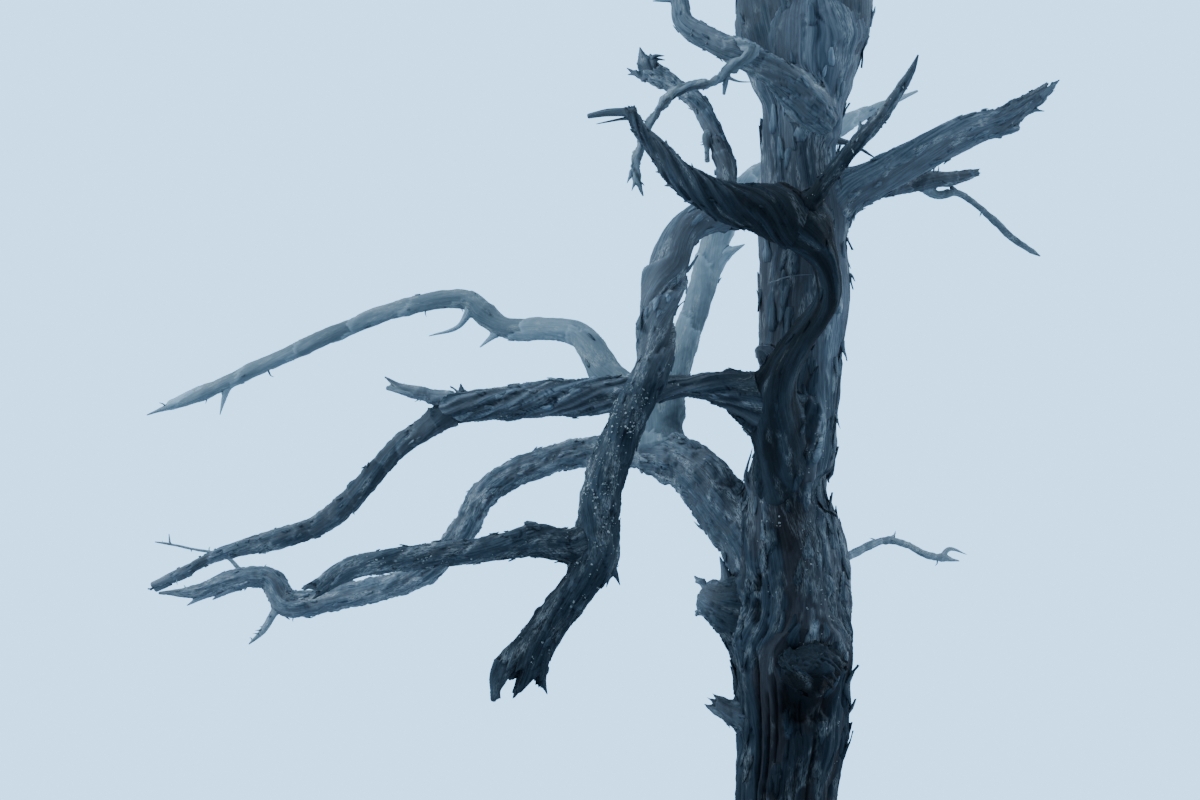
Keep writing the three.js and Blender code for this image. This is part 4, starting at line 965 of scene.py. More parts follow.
def relief(kind, angle, turned, run, thickness, seed, shade, crusted=0, points=None):
    """Height of the bark over the plain form, its grain, and its wear and painted shade.

    Turned is the angle that the grain follows. The wear and shade are painted shade in a crevice,
    bareness, lichen, and the painted shade over the whole, each from 0 to 1. Swept bark needs its points.
    """
    form = BARKS[kind]
    grain = swept_grain(points) if kind == "swept" else cylinder(turned, run, thickness, 1)

    def pattern(number, source, across, along=None, layers=3):
        sizes = (across, across, across if along is None else along)
        return layered(source / sizes, seed + number, layers)

    warp = grain.copy()
    for axis, (wander, size) in enumerate(WANDERS):
        warp[..., axis] += wander * (noise(grain / size, seed + 1 + axis) - 0.5)
    size, height = form.lumps
    total = 2 * height * (pattern(4, grain, size) - 0.5)
    across, along, height = form.slabs
    level = form.bare + PLATE_LEVEL
    outer = smoothstep(level - PLATE_EDGE, level + PLATE_EDGE, pattern(5, warp, across, along))
    total += height * (outer - 0.5)
    across, along, depth = form.fissures
    crack = 1 - smoothstep(0, CRACK_WIDTH, np.abs(2 * pattern(6, warp, across, along, 2) - 1))
    cracked = pattern(12, grain, CRACKED_ACROSS, max(CRACKED_ALONG, CRACKED_SHARE * along))
    crack *= rising(CRACK_ON_WOOD, outer) * smoothstep(CRACKED_FROM, CRACKED_TO, cracked)
    total -= depth * crack
    across, along, height = form.fibres
    fibre = pattern(7, warp, across, along, 2) - 0.5
    total += 2 * height * fibre
    edge, tone = 0, 1
    if form.scales[1]:
        rise, edge, tone = lapped(form.scales, angle, grain, warp, thickness, seed)
        total += rise
    if form.ropes[0]:
        rise, beside, light = roped(form.ropes, turned, grain, seed)
        total += rise
        edge = edge + beside
        tone = tone * light
    crevice = np.clip(crack * CREVICE_CRACK + CREVICE_EDGE * edge - fibre * CREVICE_FIBRE, 0, 1)
    level = CRUST_LEVEL - CRUST_LOWERED * np.minimum(form.lichen + crusted, MOST_CRUST)
    crust = smoothstep(level, level + CRUST_EDGE, pattern(10, grain, CRUST_ACROSS, CRUST_ALONG))
    tone = tone * (TONE_LOW + TONE_RANGE * pattern(11, grain, TONE_ACROSS, TONE_ALONG, 2))
    wear = np.stack([crevice, 1 - outer, crust, shade * tone / SHADE_RANGE + 0 * crust], axis=-1)
    return total, grain, wear


def end_rows(line, outer, kind):
    """Further rows that close a limb's end, and the place at its middle."""
    angle = angles(len(outer))
    middle, tangent, radius = line.middle[-1], line.tangent[-1], line.radius[-1]
    spoke = outer - middle
    lift = (spoke @ tangent)[:, None]
    spoke = spoke - lift * tangent
    rows = []
    if kind == "broken":
        for share in BROKEN_SHARES:
            around = BROKEN_FINENESS * (1 - share) + BROKEN_COARSENESS
            ring = np.stack([around * np.cos(angle), around * np.sin(angle), 0 * angle], axis=1)
            rough = BROKEN_ROUGH * (layered(ring, END_SEED) - 0.5)
            drop = lift * (1 - share) ** 2 + (rough[:, None] - BROKEN_HOLLOW * share) * radius
            rows.append(middle + spoke * (BROKEN_RIM - BROKEN_NARROWING * share) + drop * tangent)
        return np.array(rows), middle - (BROKEN_HOLLOW + BROKEN_DEEPER) * radius * tangent
    for share in ROUND_SHARES:
        rise = ROUND_HEIGHT * radius * math.sin(share * math.pi / 2)
        rows.append(middle + spoke * math.cos(share * math.pi / 2) + (lift + rise) * tangent)
    return np.array(rows), middle + (lift.mean() + ROUND_HEIGHT * radius) * tangent


def torn_end(line, points):
    """Draws the last rows of a broken limb out to splinters of uneven length."""
    angle = angles(points.shape[1])
    seed = int(TEAR_SEEDS * chance(line.name, 3))
    ring = np.stack([np.cos(angle), np.sin(angle), 0 * angle], axis=1)
    spikes = sum(
        strength * noise(ring * fineness, seed + number)
        for number, (strength, fineness) in enumerate(SPIKES)
    )
    spikes = (spikes - spikes.min()) / np.ptp(spikes)
    length = TORN_LENGTH * line.radius[-1]
    share = np.clip((line.run - line.run[-1] + length) / length, 0, 1)[:, None] ** 2
    stretch = line.radius[-1] * (TORN_REACH * spikes[None] ** TORN_POWER - TORN_BACK)
    return points + (share * stretch)[..., None] * line.tangent[:, None]


def closed_root(line):
    """The place that a limb's hidden first ring is closed at."""
    return line.middle[0] - ROOT_SUNK * line.radius[0] * line.tangent[0]


def tube_skin(line, end, kind, shade, joints, spacing, later=()):
    """The finished skin of one limb or snag.

    Later lists the barks that take over along it, each with the share of its length where it does.
    """
    columns = max(round(2 * math.pi * GIRTH_SHARE * line.radius.mean() / spacing), FEWEST_COLUMNS)
    angle = angles(columns)[None]
    radius = line.radius[:, None] * swell(line.turn[:, None], line.jitter[:, None], angle)
    spokes = np.cos(angle)[..., None] * line.side[:, None] + np.sin(angle)[..., None] * line.other[:, None]
    points, showing = blended(line.middle[:, None] + radius[..., None] * spokes, joints)
    seed = int(BARK_SEEDS * chance(line.name, 1))
    share = (line.run / line.run[-1])[:, None]
    shades = np.interp(share, np.linspace(0, 1, len(shade)), shade)
    run, thickness = line.run[:, None], line.radius.max()
    if kind == "swept":
        return mound_skin(line, points, showing, seed, shades)
    changes = [smoothstep(start - BARK_CHANGE, start + BARK_CHANGE, share) for _, start in later]
    twist = BARKS[kind].twist + 0 * share
    for (later_kind, _), change in zip(later, changes):
        twist = twist + (BARKS[later_kind].twist - twist) * change
    turned = angle + np.cumsum(twist * np.diff(run, axis=0, prepend=0), axis=0)
    height, grain, wear = relief(kind, angle, turned, run, thickness, seed, shades)
    for (later_kind, _), change in zip(later, changes):
        later_height, _, later_wear_and_shade = relief(later_kind, angle, turned, run, thickness, seed, shades)
        height = height + (later_height - height) * change
        wear = wear + (later_wear_and_shade - wear) * change[..., None]
    fullness = (np.minimum(line.radius / FULL_RELIEF_RADIUS, 1) ** RELIEF_POWER)[:, None]
    wear[..., 0] *= rising(CREVICE_LEFT, fullness)
    height = height * fullness * rising(SEAM_RELIEF, showing)
    points = points + height[..., None] * grid_normals(points, line.middle)
    if end == "broken":
        points = torn_end(line, points)
    more, top = end_rows(line, points[-1], end)
    torn = np.tile(wear[-1], (len(more), 1, 1))
    if end == "broken":
        # painted shade, deepest in the hollow of the broken end
        torn[..., 0] = np.clip(torn[..., 0] + np.linspace(*TORN_HOLLOW_SHADE, len(more))[:, None], 0, 1)
        torn[..., 1] = 1
        torn[..., 2] = 0
    more_grain = np.tile(grain[-1], (len(more), 1, 1))
    more_grain[..., :2] *= np.linspace(*END_GRAIN, len(more))[:, None, None]
    whole = (np.concatenate(pair) for pair in ((points, more), (grain, more_grain), (wear, torn)))
    return skin(*whole, closed_root(line), top, len(points))


def mound_skin(line, points, showing, seed, shades):
    """The skin of a stub whose bark sweeps over its rounded end too, low-browed.

    Its lower half is painted dark, as shade in a hollow under the brow.
    """
    more, top = end_rows(line, points[-1], "round")
    beyond = ((0, len(more)), (0, 0))
    inner = line.middle[-1] - ROOT_SUNK * line.radius[-1] * line.tangent[-1]
    middle = np.vstack([line.middle, np.tile(inner, (len(more), 1))])
    points = np.concatenate([points, more])
    shades = np.pad(shades + 0 * showing, beyond, mode="edge")
    showing = np.pad(showing, beyond, constant_values=1)
    above = points[..., 2] - middle[:, None, 2]
    points[..., 2] -= BROW_SHARE * np.maximum(above, 0)
    points[..., 1] += CHIN_SHARE * np.maximum(-above, 0)
    # painted shade under the brow
    shades = shades * (1 + (CHIN_SHADE - 1) * smoothstep(CHIN_TOP, CHIN_START, above))
    height, grain, wear = relief("swept", 0, 0, 0, 1, seed, shades, points=points)
    height = height * rising(SEAM_RELIEF, showing)
    height[-2:] *= MOUND_END_RELIEF
    points = points + height[..., None] * grid_normals(points, middle)
    top = top + (points[-1].mean(axis=0) - more[-1].mean(axis=0))
    return skin(points, grain, wear, closed_root(line), top, len(points) - len(more))


def skin(points, grain, wear, bottom, top, open_rows=0):
    """A closed mesh, as arrays, from rows of points and a middle for each end.

    The first open_rows rows are kept as a grid too, for what is laid on the surface.
    """
    rows, columns = points.shape[:2]
    index = np.arange(rows * columns).reshape(rows, columns)
    onward = np.roll(index, -1, axis=1)
    quads = np.stack([index[:-1], onward[:-1], onward[1:], index[1:]], axis=-1).reshape(-1, 4)
    low = rows * columns
    first = np.stack([np.full(columns, low), onward[0], index[0]], axis=1)
    last = np.stack([np.full(columns, low + 1), index[-1], onward[-1]], axis=1)

    def with_ends(values):
        flat = values.reshape(low, -1)
        return np.vstack([flat, values[0].mean(axis=0)[None], values[-1].mean(axis=0)[None]])

    return SimpleNamespace(
        points=np.vstack([points.reshape(low, 3), bottom[None], top[None]]), quads=quads,
        triangles=np.vstack([first, last]), grain=with_ends(grain), wear=with_ends(wear),
        grid=points[:open_rows], grid_grain=grain[:open_rows], grid_wear=wear[:open_rows],
    )


def trunk_marks(angle, height):
    """How far the trunk's marks stand out, and the trunk's painted shade and lichen with them."""
    places = cylinder(angle, height, MARK_RADIUS, MARK_STRETCH)
    ragged = MARK_RAGGED * (layered(places, MARK_SEED) - 0.5)
    stands = 0 * ragged
    crusted = 0 * ragged
    shade = np.interp(height, *zip(*TRUNK_SHADE)) + stands
    for degrees, middle, half_degrees, half_height, light in TRUNK_LIGHT_AND_SHADE:
        turn = turn_from(degrees, angle) / math.radians(half_degrees)
        shade = shade * (1 + (light - 1) * np.exp(-(turn**2 + ((height - middle) / half_height) ** 2)))
    for degrees, middle, half_degrees, half_height, out, light, lichen in TRUNK_MARKS:
        turn = turn_from(degrees, angle) / math.radians(half_degrees)
        away = np.hypot(turn, (height - middle) / half_height) + ragged
        inside = smoothstep(MARK_OUTSIDE, MARK_INSIDE, away)
        stands = stands + out * inside
        shade = shade * (1 + (light - 1) * inside)
        crusted = crusted + lichen * inside
    return stands, shade, crusted


def flowing(angle, height):
    """Angles round the trunk, bent so that the grain that follows them flows round the knots."""
    flowed = angle + 0 * height
    for degrees, middle, size in TRUNK_KNOTS:
        turn = turn_from(degrees, angle)
        away = (turn * GRAIN_RADIUS) ** 2 + (height - middle) ** 2
        fade = smoothstep(math.pi, KNOT_FADE * math.pi, np.abs(turn))
        flowed = flowed - turn * fade * size**2 / (away + size**2)
    places = FLOW_FINENESS * cylinder(angle, height, 1, FLOW_STRETCH)
    return flowed + FLOW_WANDER * (noise(places, FLOW_SEED) - 0.5)


def trunk_skin(low, high, spacing, joints, sunk_above):
    """The skin of the trunk between two heights, sunk a little over the top where it overlaps."""
    height = np.linspace(low, high, math.ceil((high - low) / spacing) + 1)[:, None]
    angle = angles(TRUNK_COLUMNS)[None]
    middle, *section = trunk_section(height)
    x, y = trunk_outline(angle, height, *section)
    points, showing = blended(np.stack([middle + x, y, height + 0 * angle], axis=-1), joints)
    marked, shade, crusted = trunk_marks(angle, height)
    flow = flowing(angle, height)
    turned = flow + BARKS["trunk"].twist * height
    out, grain, wear = relief("trunk", flow, turned, height, GRAIN_RADIUS, TRUNK_SEED, shade, crusted)
    out = out * np.interp(height, *zip(*TRUNK_RELIEF)) + marked
    out = out * rising(SEAM_RELIEF, showing) * ((TRUNK_TOP - height) / TOP_FADE).clip(0, 1)
    out = out - FOOT_SUNK * smoothstep(sunk_above, sunk_above + FOOT_OVERLAP, height)
    axis = np.stack([middle[:, 0], 0 * middle[:, 0], height[:, 0]], axis=1)
    normals = grid_normals(points, axis)
    normals[points[..., 2] < FLARE_TOP, 2] = 0
    points = points + out[..., None] * unit(normals)
    points[..., 2] = np.maximum(points[..., 2], 0)
    points[0, :, 2] = low
    top = np.array([axis[-1][0], 0, points[-1, :, 2].max()])
    return skin(points, grain, wear, axis[0], top, len(points))


# Loose strips and lichen, which lie on a skin's grid

def on_grid(grid, row, column):
    """Values of a grid at fractional rows and columns, which wrap round the limb."""
    row = np.clip(row, 0, len(grid) - 1.001)
    low = np.floor(row).astype(int)
    left = np.floor(column).astype(int)
    down, across = (row - low)[..., None], (column - left)[..., None]
    left, right = left % grid.shape[1], (left + 1) % grid.shape[1]
    near, far = (grid[at, left] * (1 - across) + grid[at, right] * across for at in (low, low + 1))
    return near * (1 - down) + far * down


def outward(grid, row, column):
    """The outward direction of a grid near a place on it."""
    along = on_grid(grid, row + NORMAL_REACH, column) - on_grid(grid, row - NORMAL_REACH, column)
    around = on_grid(grid, row, column + NORMAL_REACH) - on_grid(grid, row, column - NORMAL_REACH)
    middle = grid[np.clip(np.asarray(row).astype(int), 0, len(grid) - 1)].mean(axis=-2)
    normal = unit(np.cross(around, along))
    outwards = ((on_grid(grid, row, column) - middle) * normal).sum(axis=-1, keepdims=True)
    return np.where(outwards > 0, normal, -normal)


def strip(host, row, column, length, width, lift, way, random):
    """A loose strip of bark, fast at one end and lifted off the limb at the other."""
    grid = host.grid
    near_row = int(np.clip(row, 1, len(grid) - 2))
    ring = grid[near_row]
    row_pitch = np.linalg.norm(grid[near_row + 1] - ring, axis=1).mean()
    column_pitch = max(np.linalg.norm(np.roll(ring, -1, axis=0) - ring, axis=1).mean(), NARROWEST_PITCH)
    along = np.linspace(0, 1, STRIP_ROWS)[:, None]
    across = np.linspace(-1, 1, STRIP_COLUMNS)[None]
    uneven = 1 + STRIP_UNEVEN * (random.random((STRIP_ROWS, 1)) - 0.5)
    shoulders = rising(STRIP_ROOT_WIDTH, np.sin(math.pi * np.minimum(along * 2, 1)))
    taper = uneven * (1 - STRIP_NARROWING * along**4) * shoulders
    drift = STRIP_DRIFT * (random.random() - 0.5) * length * along
    rows = row + way * along * length / row_pitch + 0 * across
    columns = column + (drift + across * taper * width / 2) / column_pitch
    curl = random.uniform(*STRIP_CURL) * width * across**2 * along
    rise = lift * along ** random.uniform(*STRIP_BOW) + curl - STRIP_SUNK * (1 - along) ** 2
    rise = rise + STRIP_ROUGH * (random.random(rise.shape) - 0.5)
    thick = STRIP_THICKNESS * (STRIP_ROOT_THICKNESS - STRIP_THINNING * along)
    thick = thick * (1 - STRIP_EDGE_THINNING * across**2)
    place, normal = on_grid(grid, rows, columns), outward(grid, rows, columns)
    top = place + (rise + thick)[..., None] * normal
    under = place + (rise - STRIP_UNDER * thick)[..., None] * normal
    points = np.concatenate([top, under[:, ::-1]], axis=1)
    both = np.tile(rows, 2), np.concatenate([columns, columns[:, ::-1]], axis=1)
    wear = on_grid(host.grid_wear, *both)
    wear[..., 0] = STRIP_CREVICE
    wear[:, :STRIP_COLUMNS, 1] = 0
    wear[:, STRIP_COLUMNS:, 1] = 1
    wear[..., 3] *= random.uniform(*STRIP_SHADES)
    ends = points[0].mean(axis=0), points[-1].mean(axis=0)
    return skin(points, on_grid(host.grid_grain, *both), wear, *ends)


def strips(host, count, length, width, lift, seed):
    """Strips scattered over a limb, with sizes up to those given."""
    random = np.random.default_rng(seed)
    made = []
    for _ in range(count):
        size = random.uniform(*STRIP_SIZES)
        row = random.uniform(*STRIP_STRETCH) * len(host.grid)
        column = random.uniform(0, host.grid.shape[1])
        way = -1 if random.random() < BACKWARDS_SHARE else 1
        height = lift * random.uniform(*STRIP_LIFTS)
        ring = host.grid[int(row)]
        narrow = min(1, np.linalg.norm(ring - ring.mean(axis=0), axis=1).mean() / FULL_RELIEF_RADIUS)
        sizes = length * size * narrow**0.5, width * size * narrow, height * narrow
        made.append(strip(host, row, column, *sizes, way, random))
    return made


def seen_at(host, across, up):
    """The row and column of a skin's grid that is sighted at a place, on the side towards the eye."""
    seen_across, seen_up, _ = sighted(host.grid)
    off = np.hypot(seen_across - across, seen_up - up) + FAR_SIDE_PENALTY * host.grid[..., 1]
    return np.unravel_index(off.argmin(), off.shape)


def crust(host, row, column, size, random):
    """A small raised crust of lichen with a ragged rim, sunk into the bark."""
    row, column = np.array(row), np.array(column)
    place, normal = on_grid(host.grid, row, column), outward(host.grid, row, column)
    first = unit(np.cross(normal, SKEW))
    second = np.cross(normal, first)
    angle = angles(CRUST_SIDES)[:, None]
    ragged = size * random.uniform(*CRUST_RAGGED, CRUST_SIDES)[:, None]
    rim = ragged * (np.cos(angle) * first + np.sin(angle) * second)
    levels = (1.05, -1), (1, 0.5), (0.55, 0.9 + 0.5 * random.random())
    rows = np.array([place + reach * rim + rise * CRUST_HEIGHT * normal for reach, rise in levels])
    wear = np.tile([0.0, 0.0, 1.0, random.uniform(*CRUST_SHADES)], (len(levels), CRUST_SIDES, 1))
    return skin(rows, rows, wear, place - CRUST_HEIGHT * normal, place + CRUST_HEIGHT * normal)


def crusts(host, count, first, last, size, columns, seed):
    """Lichen scattered over part of a limb: shares of its length, and shares of the way round."""
    random = np.random.default_rng(seed)
    made = []
    while len(made) < count:
        row = random.uniform(first, last) * (len(host.grid) - 1)
        column = random.uniform(*columns) * host.grid.shape[1]
        for _ in range(random.integers(*CRUST_CLUSTER)):
            down, aside = random.normal(0, CRUST_SPREAD, 2)
            own_size = size * (CRUST_LEAST + CRUST_MORE * random.random() ** 2)
            made.append(crust(host, row + down, column + aside, own_size, random))
    return made


# Pieces

def joined(parts):
    """Several skins as one set of arrays."""
    before = np.cumsum([0] + [len(part.points) for part in parts])
    whole = {name: np.vstack([getattr(part, name) for part in parts]) for name in ("points", "grain", "wear")}
    for name in ("quads", "triangles"):
        whole[name] = np.vstack([getattr(part, name) + start for part, start in zip(parts, before)])
    return SimpleNamespace(**whole)


def piece(name, arrays, finish, slot, nodes=()):
    """Makes a mesh object that rides with the tree, stands for its nodes and takes a finish."""
    mesh = bpy.data.meshes.new(name)
    mesh.vertices.add(len(arrays.points))
    mesh.vertices.foreach_set("co", arrays.points.astype(np.float32).ravel())
    corners = np.concatenate([arrays.quads.ravel(), arrays.triangles.ravel()])
    sizes = np.repeat([4, 3], [len(arrays.quads), len(arrays.triangles)])
    mesh.loops.add(len(corners))
    mesh.loops.foreach_set("vertex_index", corners.astype(np.int32))
    mesh.polygons.add(len(sizes))
    mesh.polygons.foreach_set("loop_start", (np.cumsum(sizes) - sizes).astype(np.int32))
    mesh.polygons.foreach_set("loop_total", sizes.astype(np.int32))
    mesh.polygons.foreach_set("use_smooth", np.ones(len(sizes), bool))
    mesh.update(calc_edges=True)
    mesh.validate()
    grain = mesh.attributes.new("grain", "FLOAT_VECTOR", "POINT")
    grain.data.foreach_set("vector", arrays.grain.astype(np.float32).ravel())
    wear = mesh.attributes.new("wear", "FLOAT_COLOR", "POINT")
    wear.data.foreach_set("color", arrays.wear.astype(np.float32).ravel())
    mesh.materials.append(FINISHES[finish])
    made = bpy.data.objects.new(name, mesh)
    bpy.context.collection.objects.link(made)
    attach(made, "root")
    if nodes:
        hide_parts(*nodes)


# Materials

def feed(tree, socket, value):
    """Links a socket to another node's output, or sets it to a plain number or colour."""
    if isinstance(value, bpy.types.NodeSocket):
        tree.links.new(value, socket)
    elif socket.type == "RGBA":
        socket.default_value = (*value, 1)
    else:
        socket.default_value = value


def node(tree, kind, inputs=None, **settings):
    """A new node with its settings, and with its inputs fed by name or number."""
    made = tree.nodes.new(kind)
    for name, value in settings.items():
        setattr(made, name, value)
    for key, value in (inputs or {}).items():
        feed(tree, made.inputs[key], value)
    return made


def mixed(tree, factor, low, high):
    """A mix of two colours, each a socket or a plain colour."""
    ends = {6: low, 7: high}
    return node(tree, "ShaderNodeMix", {"Factor": factor, **ends}, data_type="RGBA").outputs[2]


def ranged(tree, value, low, high, to_low=0.0, to_high=1.0):
    """A value that goes smoothly from to_low to to_high as another goes from low to high."""
    ends = {"From Min": low, "From Max": high, "To Min": to_low, "To Max": to_high}
    made = node(tree, "ShaderNodeMapRange", {"Value": value, **ends}, interpolation_type="SMOOTHSTEP")
    return made.outputs["Result"]


def arithmetic(tree, operation, first, second):
    return node(tree, "ShaderNodeMath", {0: first, 1: second}, operation=operation).outputs[0]


def scaled(tree, colour, factor):
    return node(tree, "ShaderNodeVectorMath", {0: colour, "Scale": factor}, operation="SCALE").outputs[0]


def multiplied(tree, first, second):
    return node(tree, "ShaderNodeVectorMath", {0: first, 1: second}, operation="MULTIPLY").outputs[0]


def grain_noise(tree, vector, across, along, detail, distortion=0.0):
    """Noise drawn out along the grain; across and along are the sizes of its features."""
    settings = {"Scale": 1, "Detail": detail, "Roughness": 0.62, "Distortion": distortion}
    drawn_out = multiplied(tree, vector, (1 / across, 1 / across, 1 / along))
    return node(tree, "ShaderNodeTexNoise", {"Vector": drawn_out, **settings}).outputs["Fac"]


def new_material(name):
    """A material, its node tree and the inputs of its shader."""
    material = bpy.data.materials.new(name)
    material.use_nodes = True
    return material, material.node_tree, material.node_tree.nodes["Principled BSDF"].inputs


def bark_material(name, crevice_shadow, dark, light, inner, pale, crust, streak, wood_tint_in_shade=SHADOW_TINT):
    """Bark or wood: painted shade in the crevices, dark to light on the plates, inner where bark has gone.

    Streak is how long the streaks along the grain are.
    """
    material, tree, shader = new_material(name)
    grain = node(tree, "ShaderNodeAttribute", attribute_name="grain").outputs["Vector"]
    wear = node(tree, "ShaderNodeAttribute", attribute_name="wear").outputs
    crevice, bare, lichen = node(tree, "ShaderNodeSeparateColor", {0: wear["Color"]}).outputs[:3]
    streaks = grain_noise(tree, grain, STREAK_WIDTH, streak, 6, 0.4)
    mottle = grain_noise(tree, grain, *MOTTLE_SIZES, 5, 0.6)
    fine = grain_noise(tree, grain, FINE_WIDTH, FINE_SHARE * streak, 4)
    plates = mixed(tree, ranged(tree, streaks, 0.3, 0.72), dark, light)
    plates = mixed(tree, ranged(tree, mottle, 0.52, 0.74, 0, 0.55), plates, pale)
    wood = mixed(tree, ranged(tree, streaks, 0.32, 0.7), inner, light)
    wood = mixed(tree, ranged(tree, mottle, 0.35, 0.7), wood, inner)
    colour = mixed(tree, bare, plates, wood)
    # painted shade in the crevices
    colour = mixed(tree, ranged(tree, crevice, 0.12, 1.0, 0, 0.9), colour, crevice_shadow)
    # painted shade: the colours are scaled by the shade that the mesh carries, and tinted blue where dark
    shade = arithmetic(tree, "MULTIPLY", wear["Alpha"], SHADE_RANGE)
    tint_in_shade = mixed(tree, bare, SHADOW_TINT, wood_tint_in_shade)
    tint = mixed(tree, ranged(tree, shade, 0.1, 0.9), tint_in_shade, (1, 1, 1))
    shaded = scaled(tree, multiplied(tree, colour, tint), shade)
    # the lichen takes the painted shade too, though less
    crusted = scaled(tree, crust, ranged(tree, shade, 0, 1.2, 0.3, 1.1))
    covered = arithmetic(tree, "MULTIPLY", ranged(tree, fine, 0.42, 0.58), lichen)
    covered = arithmetic(tree, "MULTIPLY", covered, ranged(tree, mottle, 0.4, 0.6, 0.15, 0.9))
    covered = arithmetic(tree, "MULTIPLY", covered, ranged(tree, crevice, 0.3, 0.8, 1, 0.2))
    feed(tree, shader["Base Color"], mixed(tree, covered, shaded, crusted))
    feed(tree, shader["Roughness"], ranged(tree, streaks, 0.3, 0.7, 0.98, 0.72))
    feed(tree, shader["Specular IOR Level"], GLOSS)
    height = arithmetic(tree, "ADD", arithmetic(tree, "MULTIPLY", streaks, 1.2), fine)
    settings = {"Strength": BUMP_STRENGTH, "Distance": BUMP_HEIGHT}
    bump = node(tree, "ShaderNodeBump", {"Height": height, **settings})
    feed(tree, shader["Normal"], bump.outputs["Normal"])
    return material


def plain_material(name, colour, roughness, unevenness):
    """A matt surface whose tone changes slowly from place to place."""
    material, tree, shader = new_material(name)
    place = node(tree, "ShaderNodeTexCoord").outputs["Object"]
    slow = node(tree, "ShaderNodeTexNoise", {"Vector": place, "Scale": 0.35, "Detail": 3})
    darker = tuple(channel * (1 - unevenness) for channel in colour)
    feed(tree, shader["Base Color"], mixed(tree, slow.outputs["Fac"], colour, darker))
    feed(tree, shader["Roughness"], roughness)
    return material


FINISHES = {
    "trunk": bark_material(
        "trunk_bark", crevice_shadow=(0.006, 0.02, 0.042), dark=(0.036, 0.07, 0.108),
        light=(0.125, 0.178, 0.24), inner=(0.07, 0.1, 0.138), pale=(0.18, 0.24, 0.31),
        crust=(0.3, 0.4, 0.48), streak=0.5, wood_tint_in_shade=WOOD_SHADOW_TINT,
    ),
    "bark": bark_material(
        "bough_bark", crevice_shadow=(0.006, 0.02, 0.042), dark=(0.034, 0.068, 0.104),
        light=(0.115, 0.17, 0.228), inner=(0.07, 0.098, 0.13), pale=(0.175, 0.235, 0.3),
        crust=(0.3, 0.4, 0.48), streak=0.26,
    ),
    "weathered_bark": bark_material(
        "weathered_bark", crevice_shadow=(0.012, 0.032, 0.056), dark=(0.048, 0.088, 0.13),
        light=(0.14, 0.2, 0.262), inner=(0.09, 0.127, 0.165), pale=(0.2, 0.265, 0.33),
        crust=(0.3, 0.4, 0.47), streak=0.3,
    ),
    # paler and bluer than the rest, as far limbs lightened by mist: painted mist light over weathered bare
    # wood
    "bare_wood": bark_material(
        "bare_wood", crevice_shadow=(0.045, 0.085, 0.125), dark=(0.08, 0.14, 0.195),
        light=(0.155, 0.235, 0.3), inner=(0.11, 0.175, 0.232), pale=(0.2, 0.285, 0.345),
        crust=(0.25, 0.34, 0.39), streak=0.3,
    ),
    "lichen": bark_material(
        "lichen", crevice_shadow=(0.12, 0.17, 0.21), dark=(0.3, 0.39, 0.45), light=(0.42, 0.52, 0.58),
        inner=(0.3, 0.39, 0.45), pale=(0.5, 0.6, 0.65), crust=(0.5, 0.6, 0.65), streak=0.05,
    ),
    "twigs": bark_material(
        "twig_bark", crevice_shadow=(0.02, 0.04, 0.065), dark=(0.06, 0.105, 0.15),
        light=(0.15, 0.215, 0.275), inner=(0.1, 0.15, 0.195), pale=(0.21, 0.285, 0.345),
        crust=(0.3, 0.4, 0.45), streak=0.2,
    ),
}


# The limbs, their snags and the trunk

def spacing_of(form):
    return CROWN_SPACING if min(knot[1] for knot in form.knots) > CROWN_START else SPACING


LINES = {name: spine(name, form.knots, spacing_of(form)) for name, form in LIMBS.items()}
HOST = {node_name: name for name, form in LIMBS.items() for node_name in form.nodes}
joints = {name: [] for name in [*LIMBS, "trunk"]}


def distance_from(line, rows):
    """What measures how far points lie outside the chosen rows of a limb."""
    def distance(points):
        return limb_distance(line, rows, points)

    return distance


def join_to(child, carrier, child_joints):
    """Adds the fillet between a limb or snag and what carries it to the joints of both."""
    at_root, first_radius = root_of(child)
    rows = np.flatnonzero(at_root)[::2]
    child_distance = distance_from(child, rows)
    carrier_distance = trunk_distance
    if carrier != "trunk":
        line = LINES[carrier]
        root = child.middle[at_root][::4]
        gaps = np.linalg.norm(line.middle[:, None] - root[None], axis=2).min(axis=1)
        near = gaps < line.radius + first_radius + CARRIER_MARGIN
        carrier_distance = distance_from(line, np.flatnonzero(near)[::2])
    fillet = min(BLEND_SHARE * first_radius, WIDEST_BLEND)
    margin = child.radius[rows].max() + FILLET_MARGIN * fillet
    box = child.middle[rows].min(axis=0) - margin, child.middle[rows].max(axis=0) + margin
    child_joints.append((child_distance, carrier_distance, fillet, *box))
    joints[carrier].append((carrier_distance, child_distance, fillet, *box))


for name, form in LIMBS.items():
    for carrier in form.carriers:
        join_to(LINES[name], carrier, joints[name])

snags = []
for node_name, splinters in SNAGS.items():
    for knots in splinters:
        host = HOST.get(node_name, "trunk")
        line = spine(node_name + str(len(snags)), knots, SNAG_SPACING)
        own_joints = []
        join_to(line, host, own_joints)
        snags.append((host, line, own_joints))


def snag_skins(host, kind, shade):
    """The skins of the snags on one limb or on the trunk."""
    return [
        tube_skin(line, "tip", kind, shade, own_joints, SNAG_SPACING)
        for carrier, line, own_joints in snags
        if carrier == host
    ]


skins = {}
for name, form in LIMBS.items():
    whole = LINES[name], form.end, form.bark, form.shade, joints[name], spacing_of(form), form.later
    skins[name] = tube_skin(*whole)
    extra = snag_skins(name, "fibrous", (form.shade[-1], SNAG_LIGHTER * form.shade[-1]))
    piece(name + "_bark", joined([skins[name], *extra]), form.slot, form.slot, form.nodes)

